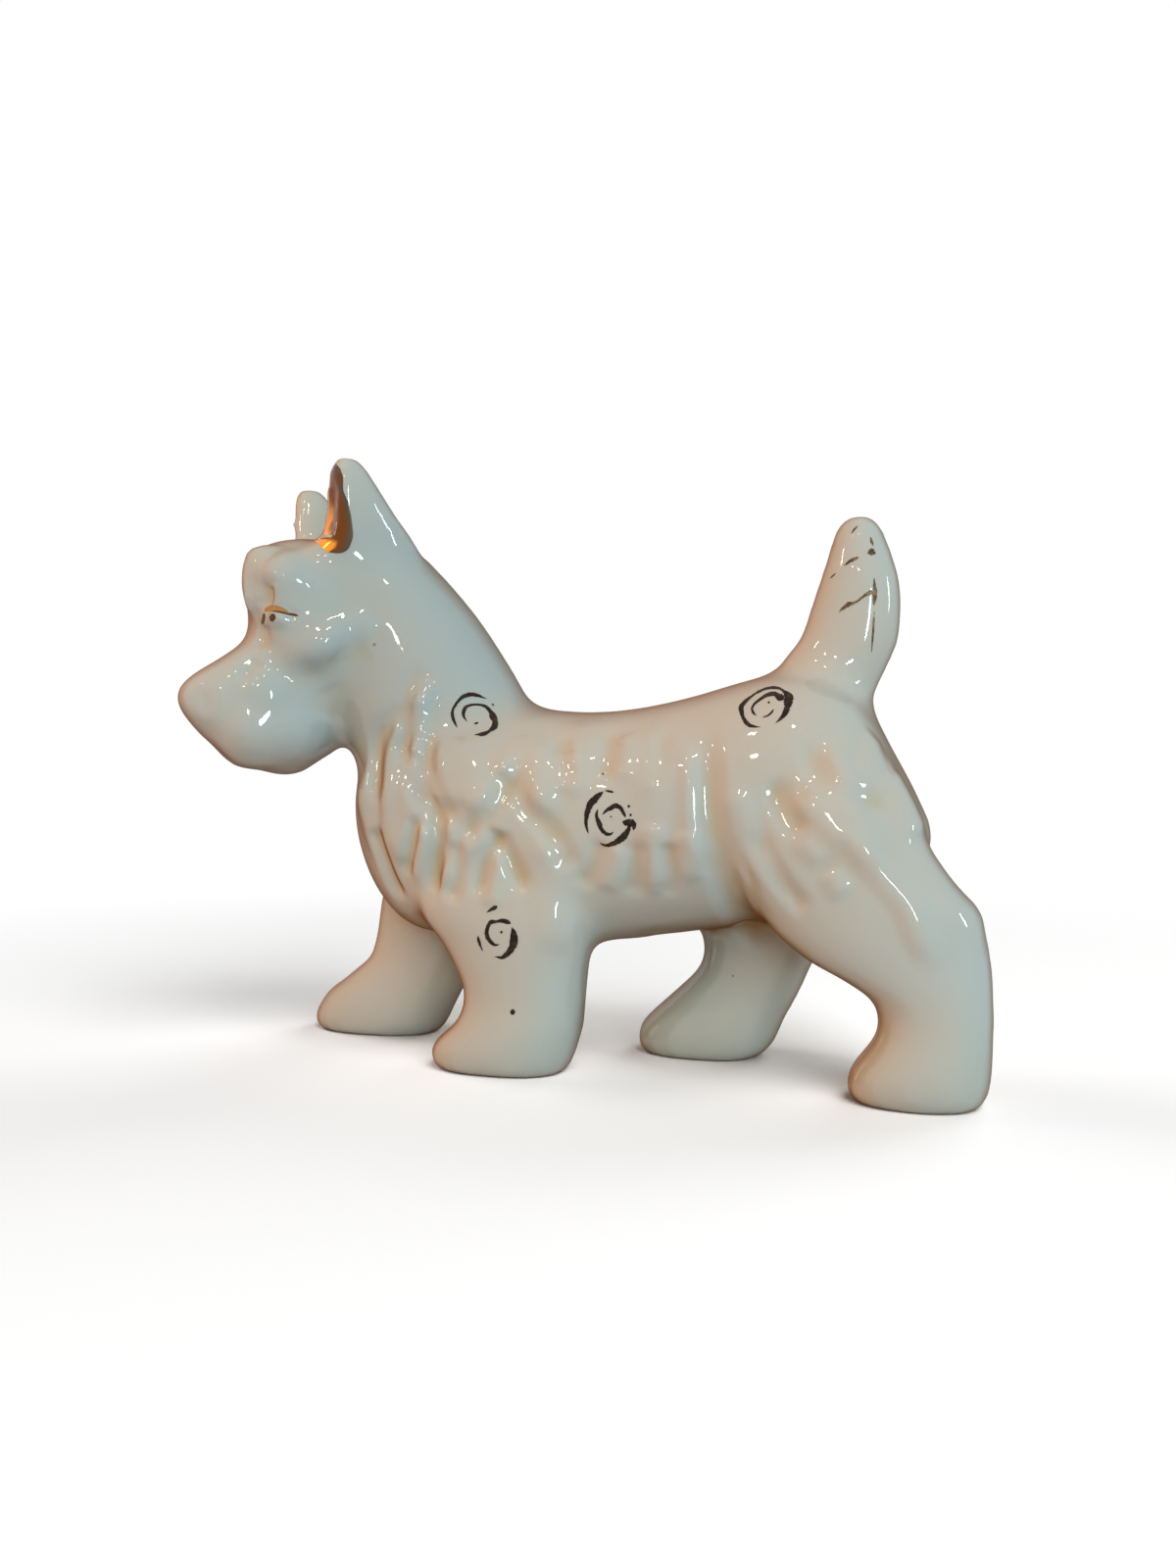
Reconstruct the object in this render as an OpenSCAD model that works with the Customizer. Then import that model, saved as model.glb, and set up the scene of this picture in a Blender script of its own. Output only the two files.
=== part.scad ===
// Porcelain terrier ornament: a hollow slip-cast dog, luted together from nine cast pieces,
// glazed white and finished with gold lustre and stamped swirls.
// The dog faces -X, its left side is -Y, and it rests on four flat soles at z = 0.
// The origin is under the middle of the dog.

/* [Trunk] */
// Length of the trunk from chest to rump
trunk_l = 70; // [66:1:74]
// Height of the back above the table
back_z = 42; // [39:1:45]
// Width of the trunk behind the shoulders
trunk_w = 26; // [24:1:28]
// Thickness of the cast porcelain wall
wall = 2.5; // [1.8:0.1:3]
// Diameter of the hole under the belly that lets the hollow breathe in the kiln
vent_d = 3.5; // [2:0.5:5]

/* [Legs] */
// Height of the joint between a leg and the trunk
leg_h = 18; // [16.5:0.5:19.5]
// Front-to-back length of a leg at its joint
leg_l = 20; // [18:0.5:22]
// Width of a paw
paw_w = 12; // [11:0.5:13]
// Distance between the left and the right paws, middle to middle
stance_w = 15; // [14:0.5:17]
// Distance from the left front paw to the right front paw, along the dog
fore_step = 25; // [22:1:27]
// Distance from the left hind paw to the right hind paw, along the dog
hind_step = 26.5; // [24:0.5:28]
// Diameter of the small air hole between a leg and the trunk
air_d = 1.6; // [1:0.2:2.4]

/* [Neck and head] */
// Front-to-back depth of the neck at its root
neck_l = 25; // [23:1:27]
// Width of the neck
neck_w = 19; // [17:1:21]
// Height of the neck above the back
neck_h = 22; // [20:1:24]
// Length of the head from nose to nape
head_l = 36; // [33:1:39]
// Width of the head at the cheeks
head_w = 22; // [20:1:24]
// Height of the chin above the table
chin_z = 34.2; // [32.4:0.2:36]
// Height of the head from chin to crown
head_h = 30; // [28:1:32]
// Angle that the head is turned to the left
head_turn = 40; // [34:1:46]

/* [Ears] */
// Height of an ear from the crown
ear_h = 13.1; // [12:0.1:14.4]
// Front-to-back length of an ear at its root
ear_l = 13.4; // [12:0.2:15]
// Thickness of an ear at its root
ear_w = 6.6; // [6:0.2:7.4]
// Distance between the tips of the ears
ear_gap = 18; // [17:0.2:19]
// How far the right ear stands ahead of the left one
ear_lead = 1.6; // [0:0.2:2.4]

/* [Tail] */
// Height of the tail above its root
tail_h = 18; // [16:0.5:20]
// Front-to-back length of the tail at its root
tail_l = 12; // [11:0.5:13]
// Thickness of the tail at its root
tail_w = 8; // [7:0.2:9]

/* [Slip and gilding] */
// Thickness of the slip that lutes two cast pieces together
slip_t = 0.3; // [0.2:0.05:0.4]
// Depth at which the slip is wiped back under the glaze
slip_back = 0.4; // [0.3:0.05:0.5]
// Thickness of the stamped and painted decoration
paint_t = 0.12; // [0.08:0.02:0.16]
// Thickness of the gold lustre in the ears
lustre_t = 0.15; // [0.1:0.05:0.2]
// Diameter of a stamped swirl
swirl_d = 5.6; // [5:0.2:6.2]

/* [Hidden] */

// Left and right of the dog
LEFT = -1;
RIGHT = 1;

// Facets round each form, and steps between two stations of a form
trunk_sides = 32;
head_sides = 26;
limb_sides = 20;
small_sides = 14;
core_sides = 12;
steps = 2;
// Squareness of a ring, where 2 is an ellipse
body_round = 2.25;
limb_round = 2.35;
// Smallest half size of a ring, and the overrun of every cut
least = 0.05 * wall;
over = 0.8 * wall;

// Places along the dog
chest_x = -0.494 * trunk_l;
neck_x = chest_x + 0.396 * neck_l;
head_reach = 0.08 * head_l;
head_x = chest_x - 0.116 * neck_l;
tail_z = 1.095 * back_z;
tail_x = chest_x + 0.866 * trunk_l;
fore_left_x = chest_x + 0.319 * trunk_l;
fore_right_x = fore_left_x - fore_step;
hind_left_x = chest_x + 0.991 * trunk_l;
hind_right_x = hind_left_x - hind_step;

// Trunk: place along it, top and bottom as shares of the back's height, width
trunk_shares = [
    [0.000, 0.780, 0.700, 0.10],
    [0.012, 0.860, 0.600, 0.36],
    [0.035, 0.940, 0.500, 0.52],
    [0.070, 0.990, 0.420, 0.69],
    [0.120, 1.030, 0.360, 0.84],
    [0.200, 1.055, 0.342, 0.96],
    [0.320, 1.020, 0.333, 0.99],
    [0.430, 1.000, 0.335, 0.96],
    [0.530, 1.010, 0.360, 0.93],
    [0.630, 1.043, 0.385, 0.94],
    [0.735, 1.090, 0.415, 0.97],
    [0.815, 1.100, 0.440, 0.95],
    [0.890, 1.035, 0.470, 0.86],
    [0.940, 0.890, 0.500, 0.72],
    [0.976, 0.775, 0.560, 0.48],
    [1.000, 0.680, 0.625, 0.12]
];

// Neck: height above the back, front, rear, width
neck_shares = [
    [-0.58, -0.24, 0.50, 0.72],
    [-0.30, -0.40, 0.50, 0.92],
    [0.00, -0.51, 0.49, 1.00],
    [0.14, -0.55, 0.44, 0.98],
    [0.36, -0.65, 0.32, 0.94],
    [0.57, -0.73, 0.19, 0.90],
    [0.79, -0.73, 0.02, 0.84],
    [0.95, -0.66, -0.12, 0.62]
];

// Muzzle with its beard: place before the ears, top, bottom, width
muzzle_shares = [
    [0.498, 0.350, 0.305, 0.10],
    [0.480, 0.385, 0.260, 0.25],
    [0.440, 0.430, 0.195, 0.39],
    [0.390, 0.470, 0.135, 0.50],
    [0.335, 0.515, 0.090, 0.58],
    [0.280, 0.565, 0.055, 0.64],
    [0.210, 0.610, 0.020, 0.70],
    [0.140, 0.630, 0.005, 0.72],
    [0.083, 0.620, 0.020, 0.71],
    [0.028, 0.580, 0.063, 0.69],
    [-0.040, 0.540, 0.115, 0.60],
    [-0.110, 0.480, 0.190, 0.40]
];

// Skull: place before the ears, top, bottom, width
skull_shares = [
    [0.262, 0.880, 0.720, 0.30],
    [0.242, 0.940, 0.580, 0.58],
    [0.194, 0.978, 0.400, 0.74],
    [0.110, 1.005, 0.260, 0.87],
    [0.000, 1.008, 0.190, 0.97],
    [-0.110, 0.990, 0.190, 1.00],
    [-0.220, 0.970, 0.240, 0.95],
    [-0.330, 0.915, 0.340, 0.82],
    [-0.410, 0.830, 0.470, 0.60],
    [-0.460, 0.740, 0.600, 0.26]
];

// Ear: height, front, rear, distance from the middle, thickness
ear_shares = [
    [0.00, 0.20, -0.87, 0.76, 1.00],
    [0.20, 0.17, -0.78, 0.83, 0.98],
    [0.40, 0.15, -0.61, 0.89, 0.92],
    [0.60, 0.12, -0.46, 0.94, 0.84],
    [0.77, 0.09, -0.34, 0.98, 0.72],
    [0.90, 0.05, -0.24, 1.00, 0.56],
    [0.98, -0.02, -0.16, 1.01, 0.28]
];

// Tail: height, front, rear, thickness
tail_shares = [
    [-0.20, -0.40, 0.22, 0.86],
    [0.00, -0.66, 0.36, 1.00],
    [0.19, -0.44, 0.48, 1.00],
    [0.30, -0.37, 0.50, 0.98],
    [0.50, -0.27, 0.51, 0.95],
    [0.70, -0.17, 0.44, 0.88],
    [0.83, -0.11, 0.37, 0.76],
    [0.92, -0.05, 0.30, 0.60],
    [0.97, 0.05, 0.23, 0.32]
];

// Legs: height, front, rear, outward shift of the middle, width
fore_left_shares = [
    [0.00, -0.41, 0.35, 0.00, 0.86],
    [0.04, -0.45, 0.38, 0.00, 0.94],
    [0.10, -0.46, 0.41, 0.00, 0.99],
    [0.18, -0.42, 0.43, 0.00, 1.00],
    [0.28, -0.31, 0.46, 0.00, 0.98],
    [0.39, -0.25, 0.47, 0.00, 0.93],
    [0.50, -0.24, 0.48, 0.00, 0.91],
    [0.64, -0.29, 0.49, 0.00, 0.92],
    [0.81, -0.38, 0.52, 0.00, 0.95],
    [1.00, -0.53, 0.56, 0.00, 0.98],
    [1.22, -0.61, 0.56, -0.03, 0.98],
    [1.50, -0.61, 0.46, -0.06, 0.90],
    [1.78, -0.51, 0.28, -0.11, 0.72],
    [2.05, -0.36, 0.10, -0.18, 0.42]
];
fore_right_shares = [
    [0.00, -0.38, 0.45, 0.00, 0.86],
    [0.04, -0.42, 0.48, 0.00, 0.94],
    [0.10, -0.43, 0.52, 0.00, 0.99],
    [0.18, -0.39, 0.55, 0.00, 1.00],
    [0.28, -0.33, 0.60, 0.00, 0.98],
    [0.40, -0.18, 0.66, 0.00, 0.93],
    [0.56, 0.00, 0.72, 0.00, 0.90],
    [0.75, 0.05, 0.78, 0.00, 0.92],
    [1.00, 0.08, 0.89, 0.00, 0.96],
    [1.22, 0.16, 0.99, -0.03, 0.96],
    [1.50, 0.29, 1.04, -0.05, 0.88],
    [1.78, 0.48, 0.99, -0.09, 0.66],
    [1.95, 0.62, 0.84, -0.13, 0.40]
];
hind_left_shares = [
    [0.00, -0.35, 0.29, 0.00, 0.88],
    [0.04, -0.38, 0.32, 0.00, 0.96],
    [0.105, -0.39, 0.34, 0.00, 1.01],
    [0.19, -0.36, 0.35, 0.00, 1.02],
    [0.29, -0.29, 0.36, 0.00, 0.98],
    [0.39, -0.23, 0.36, 0.00, 0.93],
    [0.495, -0.21, 0.37, 0.00, 0.90],
    [0.605, -0.27, 0.36, 0.00, 0.90],
    [0.70, -0.41, 0.36, 0.00, 0.92],
    [0.805, -0.60, 0.35, 0.00, 0.95],
    [0.945, -0.76, 0.33, 0.00, 1.00],
    [1.12, -0.89, 0.30, 0.00, 1.04],
    [1.28, -0.99, 0.17, 0.00, 1.06],
    [1.47, -1.06, 0.05, -0.01, 1.06],
    [1.72, -1.12, -0.03, -0.04, 1.00],
    [2.00, -1.09, -0.16, -0.09, 0.84],
    [2.22, -0.94, -0.31, -0.14, 0.58],
    [2.36, -0.79, -0.46, -0.18, 0.30]
];
hind_right_shares = [
    [0.00, -0.37, 0.33, 0.00, 0.88],
    [0.04, -0.41, 0.38, 0.00, 0.95],
    [0.10, -0.42, 0.43, 0.00, 1.00],
    [0.18, -0.40, 0.46, 0.00, 1.00],
    [0.28, -0.32, 0.50, 0.00, 0.97],
    [0.40, -0.20, 0.56, 0.00, 0.92],
    [0.545, -0.06, 0.62, 0.00, 0.88],
    [0.67, 0.01, 0.67, 0.00, 0.88],
    [0.81, -0.01, 0.75, 0.00, 0.92],
    [1.00, -0.07, 0.88, 0.00, 0.98],
    [1.28, -0.04, 1.08, -0.01, 1.04],
    [1.58, 0.08, 1.20, -0.04, 1.00],
    [1.89, 0.23, 1.18, -0.09, 0.84],
    [2.11, 0.43, 1.03, -0.14, 0.56]
];

// Fur locks of the trunk: each is a row of places, as share of the length and angle above the side
chest_lock_shares = [
    [[0.110, 54], [0.098, 14], [0.120, -26]],
    [[0.165, 46], [0.152, 10], [0.180, -30]],
    [[0.230, 40], [0.218, 8], [0.240, -24]],
    [[0.300, 36], [0.290, 10], [0.300, -20]]
];
flank_lock_shares = [
    [[0.395, 56], [0.390, 18], [0.410, -22]],
    [[0.455, 66], [0.455, 42], [0.455, 14]],
    [[0.585, 60], [0.595, 22], [0.590, -20]]
];
// Fur locks of the hind quarters: height of the leg and angle from the outer side
thigh_lock_shares = [
    [[2.08, 34], [1.72, 28], [1.36, 30]],
    [[1.98, 2], [1.64, -6], [1.32, -8]]
];
// Size of a fur lock at its middle and its ends, how far it stands proud and how deep its ends sink
lock_r = 0.38 * paw_w;
lock_end_r = 0.16 * paw_w;
lock_lift = 0.04 * paw_w;
lock_sink = 0.02 * paw_w;
lock_sides = 16;
swirl_sides = 16;
stroke_sides = 6;

// Stamps on the trunk: share of its length, angle above the side, tilt, turn on the left and on the right
shoulder_stamp_shares = [0.275, 52, 14, -10, 30];
barrel_stamp_shares = [0.515, 2, 0, 20, -35];
rump_stamp_shares = [0.752, 47, 38, 3, 15];
// Stamps and specks on the front legs: share of the leg's height, angle from the outer side, turn
foreleg_left_stamp_shares = [0.895, 2, 5];
foreleg_right_stamp_shares = [0.860, 6, -15];
speck_shares = [0.420, 6];
speck_d = 0.08 * paw_w;

function blend(a, b, share) = a + (b - a) * share;
function bulge(v, squareness) = sign(v) * pow(abs(v), 2 / squareness);

// A smooth curve through four neighbours, between the second and the third
function between(a, b, c, d, t) =
    b + (c - a) * t / 2 + (a - b * 2.5 + c * 2 - d / 2) * t * t
    + ((b - c) * 1.5 + (d - a) / 2) * t * t * t;
function smooth(rows) = [
    for (i = [0:len(rows) - 2])
        for (s = [0:steps - 1])
            between(
                rows[max(i - 1, 0)], rows[i], rows[i + 1], rows[min(i + 2, len(rows) - 1)], s / steps
            ),
    rows[len(rows) - 1]
];

// The origin of the part lies under the middle of its box, between the muzzle and a hind leg
function muzzle_reach(along, across) =
    max([
        for (r = smooth(muzzle_shares))
            (head_reach + r[0] * head_l) * along + r[3] * head_w / 2 * across
    ]);
nose_x = head_x - muzzle_reach(cos(head_turn), sin(head_turn));
muzzle_y = -muzzle_reach(sin(head_turn), cos(head_turn));
heel_x = hind_left_x + max([for (r = hind_left_shares) r[2]]) * leg_l;
thigh_y = stance_w / 2 + max([for (r = hind_right_shares) r[4]]) * paw_w / 2;
origin_x = (nose_x + heel_x) / 2;
origin_y = (muzzle_y + thigh_y) / 2;

// Rings stand upright across the dog, or lie flat round a limb
function upright_ring(x, top, bottom, half_w, sides, squareness) =
    let (middle = (top + bottom) / 2, half_h = (top - bottom) / 2)
    [for (k = [0:sides - 1])
        let (angle = 360 * k / sides)
        [x, half_w * bulge(cos(angle), squareness), middle + half_h * bulge(sin(angle), squareness)]];
function flat_ring(z, front, rear, y, half_w, sides, squareness) =
    let (middle = (front + rear) / 2, half_l = (rear - front) / 2)
    [for (k = [0:sides - 1])
        let (angle = 360 * k / sides)
        [middle + half_l * bulge(cos(angle), squareness), y + half_w * bulge(sin(angle), squareness), z]];

// The end rings of a grown form move outwards with it
function end_shift(i, count, grow) = i == 0 ? -grow : (i == count - 1 ? grow : 0);

// Neighbouring rings are joined two by two
module skin(rings)
    for (i = [0:len(rings) - 2])
        hull()
            polyhedron(
                points = concat(rings[i], rings[i + 1]),
                faces = [[for (k = [0:2 * len(rings[0]) - 1]) k]]
            );

module lock(points, radii)
    for (i = [0:len(points) - 2])
        hull() {
            translate(points[i])
                sphere(r = radii[i], $fn = lock_sides);
            translate(points[i + 1])
                sphere(r = radii[i + 1], $fn = lock_sides);
        }

// Trunk form and a point on its side
function trunk_rings(grow, sides) =
    let (rows = smooth(trunk_shares))
    [for (i = [0:len(rows) - 1])
        let (r = rows[i])
        upright_ring(
            chest_x + r[0] * trunk_l + end_shift(i, len(rows), grow),
            max(r[1] * back_z + grow, (r[1] + r[2]) * back_z / 2 + least),
            min(r[2] * back_z - grow, (r[1] + r[2]) * back_z / 2 - least),
            max(r[3] * trunk_w / 2 + grow, least),
            sides, body_round
        )];
function column(rows, k) = [for (r = rows) [r[0], r[k]]];
function trunk_at(along, angle, side, depth) =
    let (
        top = lookup(along, column(trunk_shares, 1)) * back_z,
        bottom = lookup(along, column(trunk_shares, 2)) * back_z,
        half_w = lookup(along, column(trunk_shares, 3)) * trunk_w / 2,
        half_h = (top - bottom) / 2,
        out = [0, side * half_w * bulge(cos(angle), body_round), half_h * bulge(sin(angle), body_round)]
    )
    [chest_x + along * trunk_l, 0, (top + bottom) / 2] + out * (1 - depth / norm(out));

// A fur lock swells out of the form at its middle and sinks into it at both ends
function lock_swell(i, last) = sin(180 * i / last);
function lock_radius(i, last) = blend(lock_end_r, lock_r, lock_swell(i, last));
function lock_depth(i, last) = lock_radius(i, last) + blend(lock_sink, -lock_lift, lock_swell(i, last));
module trunk_locks(grow)
    for (side = [LEFT, RIGHT])
        for (row = concat(chest_lock_shares, flank_lock_shares)) {
            places = smooth(row);
            last = len(places) - 1;
            lock(
                [for (i = [0:last]) trunk_at(places[i][0], places[i][1], side, lock_depth(i, last))],
                [for (i = [0:last]) lock_radius(i, last) + grow]
            );
        }

// Leg forms: a leg has its table, its place and its side
LEGS = [
    [fore_left_shares, fore_left_x, LEFT],
    [fore_right_shares, fore_right_x, RIGHT],
    [hind_left_shares, hind_left_x, LEFT],
    [hind_right_shares, hind_right_x, RIGHT]
];
FORE_LEFT = 0;
FORE_RIGHT = 1;
HIND_LEFT = 2;
HIND_RIGHT = 3;
function leg_y(leg, shift) = leg[2] * (stance_w / 2 + shift * stance_w);
function leg_rings(leg, grow, sides) =
    let (rows = leg[0])
    [for (i = [0:len(rows) - 1])
        let (r = rows[i], middle = leg[1] + (r[1] + r[2]) * leg_l / 2)
        flat_ring(
            r[0] * leg_h + (i == 0 ? 0 : end_shift(i, len(rows), grow)),
            min(leg[1] + r[1] * leg_l - grow, middle - least),
            max(leg[1] + r[2] * leg_l + grow, middle + least),
            leg_y(leg, r[3]),
            max(r[4] * paw_w / 2 + grow, least),
            sides, limb_round
        )];
function leg_at(leg, height, angle, depth) =
    let (
        front = leg[1] + lookup(height, column(leg[0], 1)) * leg_l,
        rear = leg[1] + lookup(height, column(leg[0], 2)) * leg_l,
        half_w = lookup(height, column(leg[0], 4)) * paw_w / 2,
        half_l = (rear - front) / 2,
        out = [half_l * bulge(sin(angle), limb_round), leg[2] * half_w * bulge(cos(angle), limb_round), 0],
        middle_y = leg_y(leg, lookup(height, column(leg[0], 3)))
    )
    [(front + rear) / 2, middle_y, height * leg_h] + out * (1 - depth / norm(out));

module thigh_locks(grow)
    for (leg = [LEGS[HIND_LEFT], LEGS[HIND_RIGHT]])
        for (row = thigh_lock_shares) {
            places = smooth(row);
            last = len(places) - 1;
            lock(
                [for (i = [0:last]) leg_at(leg, places[i][0], places[i][1], lock_depth(i, last))],
                [for (i = [0:last]) lock_radius(i, last) + grow]
            );
        }

// Neck and tail forms
function neck_rings(grow, sides) =
    let (rows = smooth(neck_shares))
    [for (i = [0:len(rows) - 1])
        let (r = rows[i])
        flat_ring(
            back_z + r[0] * neck_h + end_shift(i, len(rows), grow),
            neck_x + r[1] * neck_l - grow,
            neck_x + r[2] * neck_l + grow,
            0,
            r[3] * neck_w / 2 + grow,
            sides, body_round
        )];
function tail_rings(grow, sides) =
    let (rows = smooth(tail_shares))
    [for (i = [0:len(rows) - 1])
        let (r = rows[i], middle = tail_x + (r[1] + r[2]) * tail_l / 2)
        flat_ring(
            tail_z + r[0] * tail_h + end_shift(i, len(rows), grow),
            min(tail_x + r[1] * tail_l - grow, middle - least),
            max(tail_x + r[2] * tail_l + grow, middle + least),
            0,
            max(r[3] * tail_w / 2 + grow, least),
            sides, body_round
        )];

// Head forms stand in the head's own frame, with the nose along -X
function head_place(forward, out, up) = [-forward * head_l, out * head_w / 2, chin_z + up * head_h];
function head_rings(shares, grow, sides) =
    let (rows = smooth(shares))
    [for (i = [0:len(rows) - 1])
        let (r = rows[i], middle = chin_z + (r[1] + r[2]) * head_h / 2)
        upright_ring(
            -r[0] * head_l + end_shift(i, len(rows), grow),
            max(chin_z + r[1] * head_h + grow, middle + least),
            min(chin_z + r[2] * head_h - grow, middle - least),
            max(r[3] * head_w / 2 + grow, least),
            sides, body_round
        )];
function lead(side) = side == RIGHT ? -ear_lead : 0;
function ear_rings(side, grow, sides) =
    let (rows = smooth(ear_shares))
    [for (i = [0:len(rows) - 1])
        let (r = rows[i], middle = lead(side) - (r[1] + r[2]) * ear_l / 2)
        flat_ring(
            ear_z + r[0] * ear_h + end_shift(i, len(rows), grow),
            min(lead(side) - r[1] * ear_l - grow, middle - least),
            max(lead(side) - r[2] * ear_l + grow, middle + least),
            side * r[3] * ear_gap / 2,
            max(r[4] * ear_w / 2 + grow, least),
            sides, body_round
        )];
ear_z = chin_z + 0.87 * head_h;

module in_head()
    translate([head_x, 0, 0])
        rotate([0, 0, head_turn])
            translate([-head_reach, 0, 0])
                children();

// Brow, cheek and beard stand proud of the head as soft ridges
brow_shares = [[0.150, 0.16, 0.800], [0.130, 0.44, 0.790], [0.060, 0.62, 0.770]];
brow_r_shares = [0.145, 0.150, 0.100];
cheek_shares = [[0.130, 0.38, 0.530], [0.020, 0.54, 0.550], [-0.120, 0.58, 0.640]];
cheek_r_shares = [0.130, 0.175, 0.160];
beard_shares = [[0.320, 0.14, 0.240], [0.235, 0.20, 0.215], [0.130, 0.24, 0.225]];
beard_r_shares = [0.130, 0.190, 0.190];
module head_ridges(grow)
    for (side = [LEFT, RIGHT]) {
        lock(
            [for (p = brow_shares) head_place(p[0], side * p[1], p[2])],
            [for (share = brow_r_shares) share * head_h + grow]
        );
        lock(
            [for (p = cheek_shares) head_place(p[0], side * p[1], p[2])],
            [for (share = cheek_r_shares) share * head_h + grow]
        );
        lock(
            [for (p = beard_shares) head_place(p[0], side * p[1], p[2])],
            [for (share = beard_r_shares) share * head_h + grow]
        );
    }

module head_form(grow, sides) {
    in_head() {
        skin(head_rings(muzzle_shares, grow, sides));
        skin(head_rings(skull_shares, grow, sides));
        head_ridges(grow);
    }
    skin(neck_rings(grow, trunk_sides));
}
module ear_form(side, grow)
    in_head()
        skin(ear_rings(side, grow, small_sides));

// The joint planes: everything of a limb past its plane belongs to the limb's piece
big = 3 * trunk_l;
leg_cut = 1.1 * leg_h;
neck_tilt = -25;
tail_tilt = 19;
ear_tilt = 4;
module past_plane(place, tilt, gap)
    translate(place)
        rotate([0, tilt, 0])
            translate([-big / 2, -big / 2, gap])
                cube(big);
neck_joint = [neck_x, 0, back_z - 0.02 * neck_h];
tail_joint = [tail_x, 0, tail_z + 0.1 * tail_h];
ear_joint = [0, 0, ear_z + 0.22 * ear_h];
module past_neck(gap)
    past_plane(neck_joint, neck_tilt, gap);
module past_tail(gap)
    past_plane(tail_joint, tail_tilt, gap);
module past_ears(gap)
    in_head()
        past_plane(ear_joint, ear_tilt, gap);
module below_legs(gap)
    translate([-big / 2, -big / 2, -big + leg_cut - gap])
        cube(big);

// Cast pieces
module whole_trunk(grow, sides) {
    skin(trunk_rings(grow, sides));
    trunk_locks(grow);
    thigh_locks(grow);
    skin(neck_rings(grow, sides));
    skin(tail_rings(grow, limb_sides));
    for (leg = LEGS)
        skin(leg_rings(leg, grow, limb_sides));
}

module leg_space()
    intersection() {
        for (leg = LEGS)
            skin(leg_rings(leg, 0, limb_sides));
        below_legs(0);
    }

module trunk_hollow() {
    intersection() {
        union() {
            skin(trunk_rings(-wall, core_sides));
            skin(neck_rings(-wall, core_sides));
        }
        translate([-big / 2, -big / 2, leg_cut + wall])
            cube(big);
    }
    translate([chest_x + 0.5 * trunk_l, 0, 0])
        cylinder(d = vent_d, h = leg_cut + wall + over, $fn = core_sides);
}

// A small air hole runs from the hollow of each leg up into the trunk
module air_holes()
    for (leg = LEGS)
        hull() {
            translate([leg[1] + 0.1 * leg_l, leg_y(leg, 0), leg_cut - over])
                sphere(d = air_d, $fn = core_sides);
            translate([leg[1] + 0.1 * leg_l, leg[2] * 0.2 * trunk_w, leg_cut + wall + over])
                sphere(d = air_d, $fn = core_sides);
        }

module framed()
    translate([-origin_x, -origin_y, 0])
        children();

module trunk()
    framed()
        color("ivory")
            difference() {
                union() {
                    skin(trunk_rings(0, trunk_sides));
                    trunk_locks(0);
                    difference() {
                        union() {
                            thigh_locks(0);
                            for (leg = LEGS)
                                skin(leg_rings(leg, 0, limb_sides));
                        }
                        below_legs(0);
                    }
                    difference() {
                        skin(neck_rings(0, trunk_sides));
                        past_neck(0);
                    }
                    difference() {
                        skin(tail_rings(0, limb_sides));
                        past_tail(0);
                    }
                }
                leg_space();
                intersection() {
                    head_form(0, head_sides);
                    past_neck(0);
                }
                intersection() {
                    skin(tail_rings(0, limb_sides));
                    past_tail(0);
                }
                trunk_hollow();
                air_holes();
            }

module head()
    framed()
        color("ivory")
            difference() {
                union() {
                    intersection() {
                        head_form(0, head_sides);
                        past_neck(slip_t);
                    }
                    for (side = [LEFT, RIGHT])
                        difference() {
                            ear_form(side, 0);
                            past_ears(0);
                        }
                }
                for (side = [LEFT, RIGHT])
                    intersection() {
                        ear_form(side, 0);
                        past_ears(0);
                    }
                head_hollow();
            }

module head_hollow() {
    skin(neck_rings(-wall, core_sides));
    in_head()
        skin(head_rings(skull_shares, -wall, core_sides));
}

ear_cup_shares = [[0.13, 0.97, 0.34], [0.12, 1.02, 0.54], [0.09, 1.05, 0.72], [0.04, 1.06, 0.87]];
ear_cup_r_shares = [0.30, 0.25, 0.17, 0.09];
module ear_cup(side, grow)
    in_head()
        lock(
            [for (p = ear_cup_shares)
                [lead(side) - p[0] * ear_l, side * p[1] * ear_gap / 2, ear_z + p[2] * ear_h]],
            [for (share = ear_cup_r_shares) share * ear_w + grow]
        );

module ear(side)
    framed()
        color("ivory")
            difference() {
                intersection() {
                    ear_form(side, 0);
                    past_ears(slip_t);
                }
                ear_cup(side, 0);
            }
module ear_left() ear(LEFT);
module ear_right() ear(RIGHT);

module tail()
    framed()
        color("ivory")
            intersection() {
                skin(tail_rings(0, limb_sides));
                past_tail(slip_t);
            }

// A leg is hollow down to its sole
module leg_core(leg)
    intersection() {
        skin(leg_rings(leg, -wall, core_sides));
        translate([-big / 2, -big / 2, wall])
            cube(big);
    }
module leg_piece(leg)
    framed()
        color("ivory")
            difference() {
                intersection() {
                    skin(leg_rings(leg, 0, limb_sides));
                    below_legs(slip_t);
                }
                leg_core(leg);
            }
module leg_front_left() leg_piece(LEGS[FORE_LEFT]);
module leg_front_right() leg_piece(LEGS[FORE_RIGHT]);
module leg_hind_left() leg_piece(LEGS[HIND_LEFT]);
module leg_hind_right() leg_piece(LEGS[HIND_RIGHT]);

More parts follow.
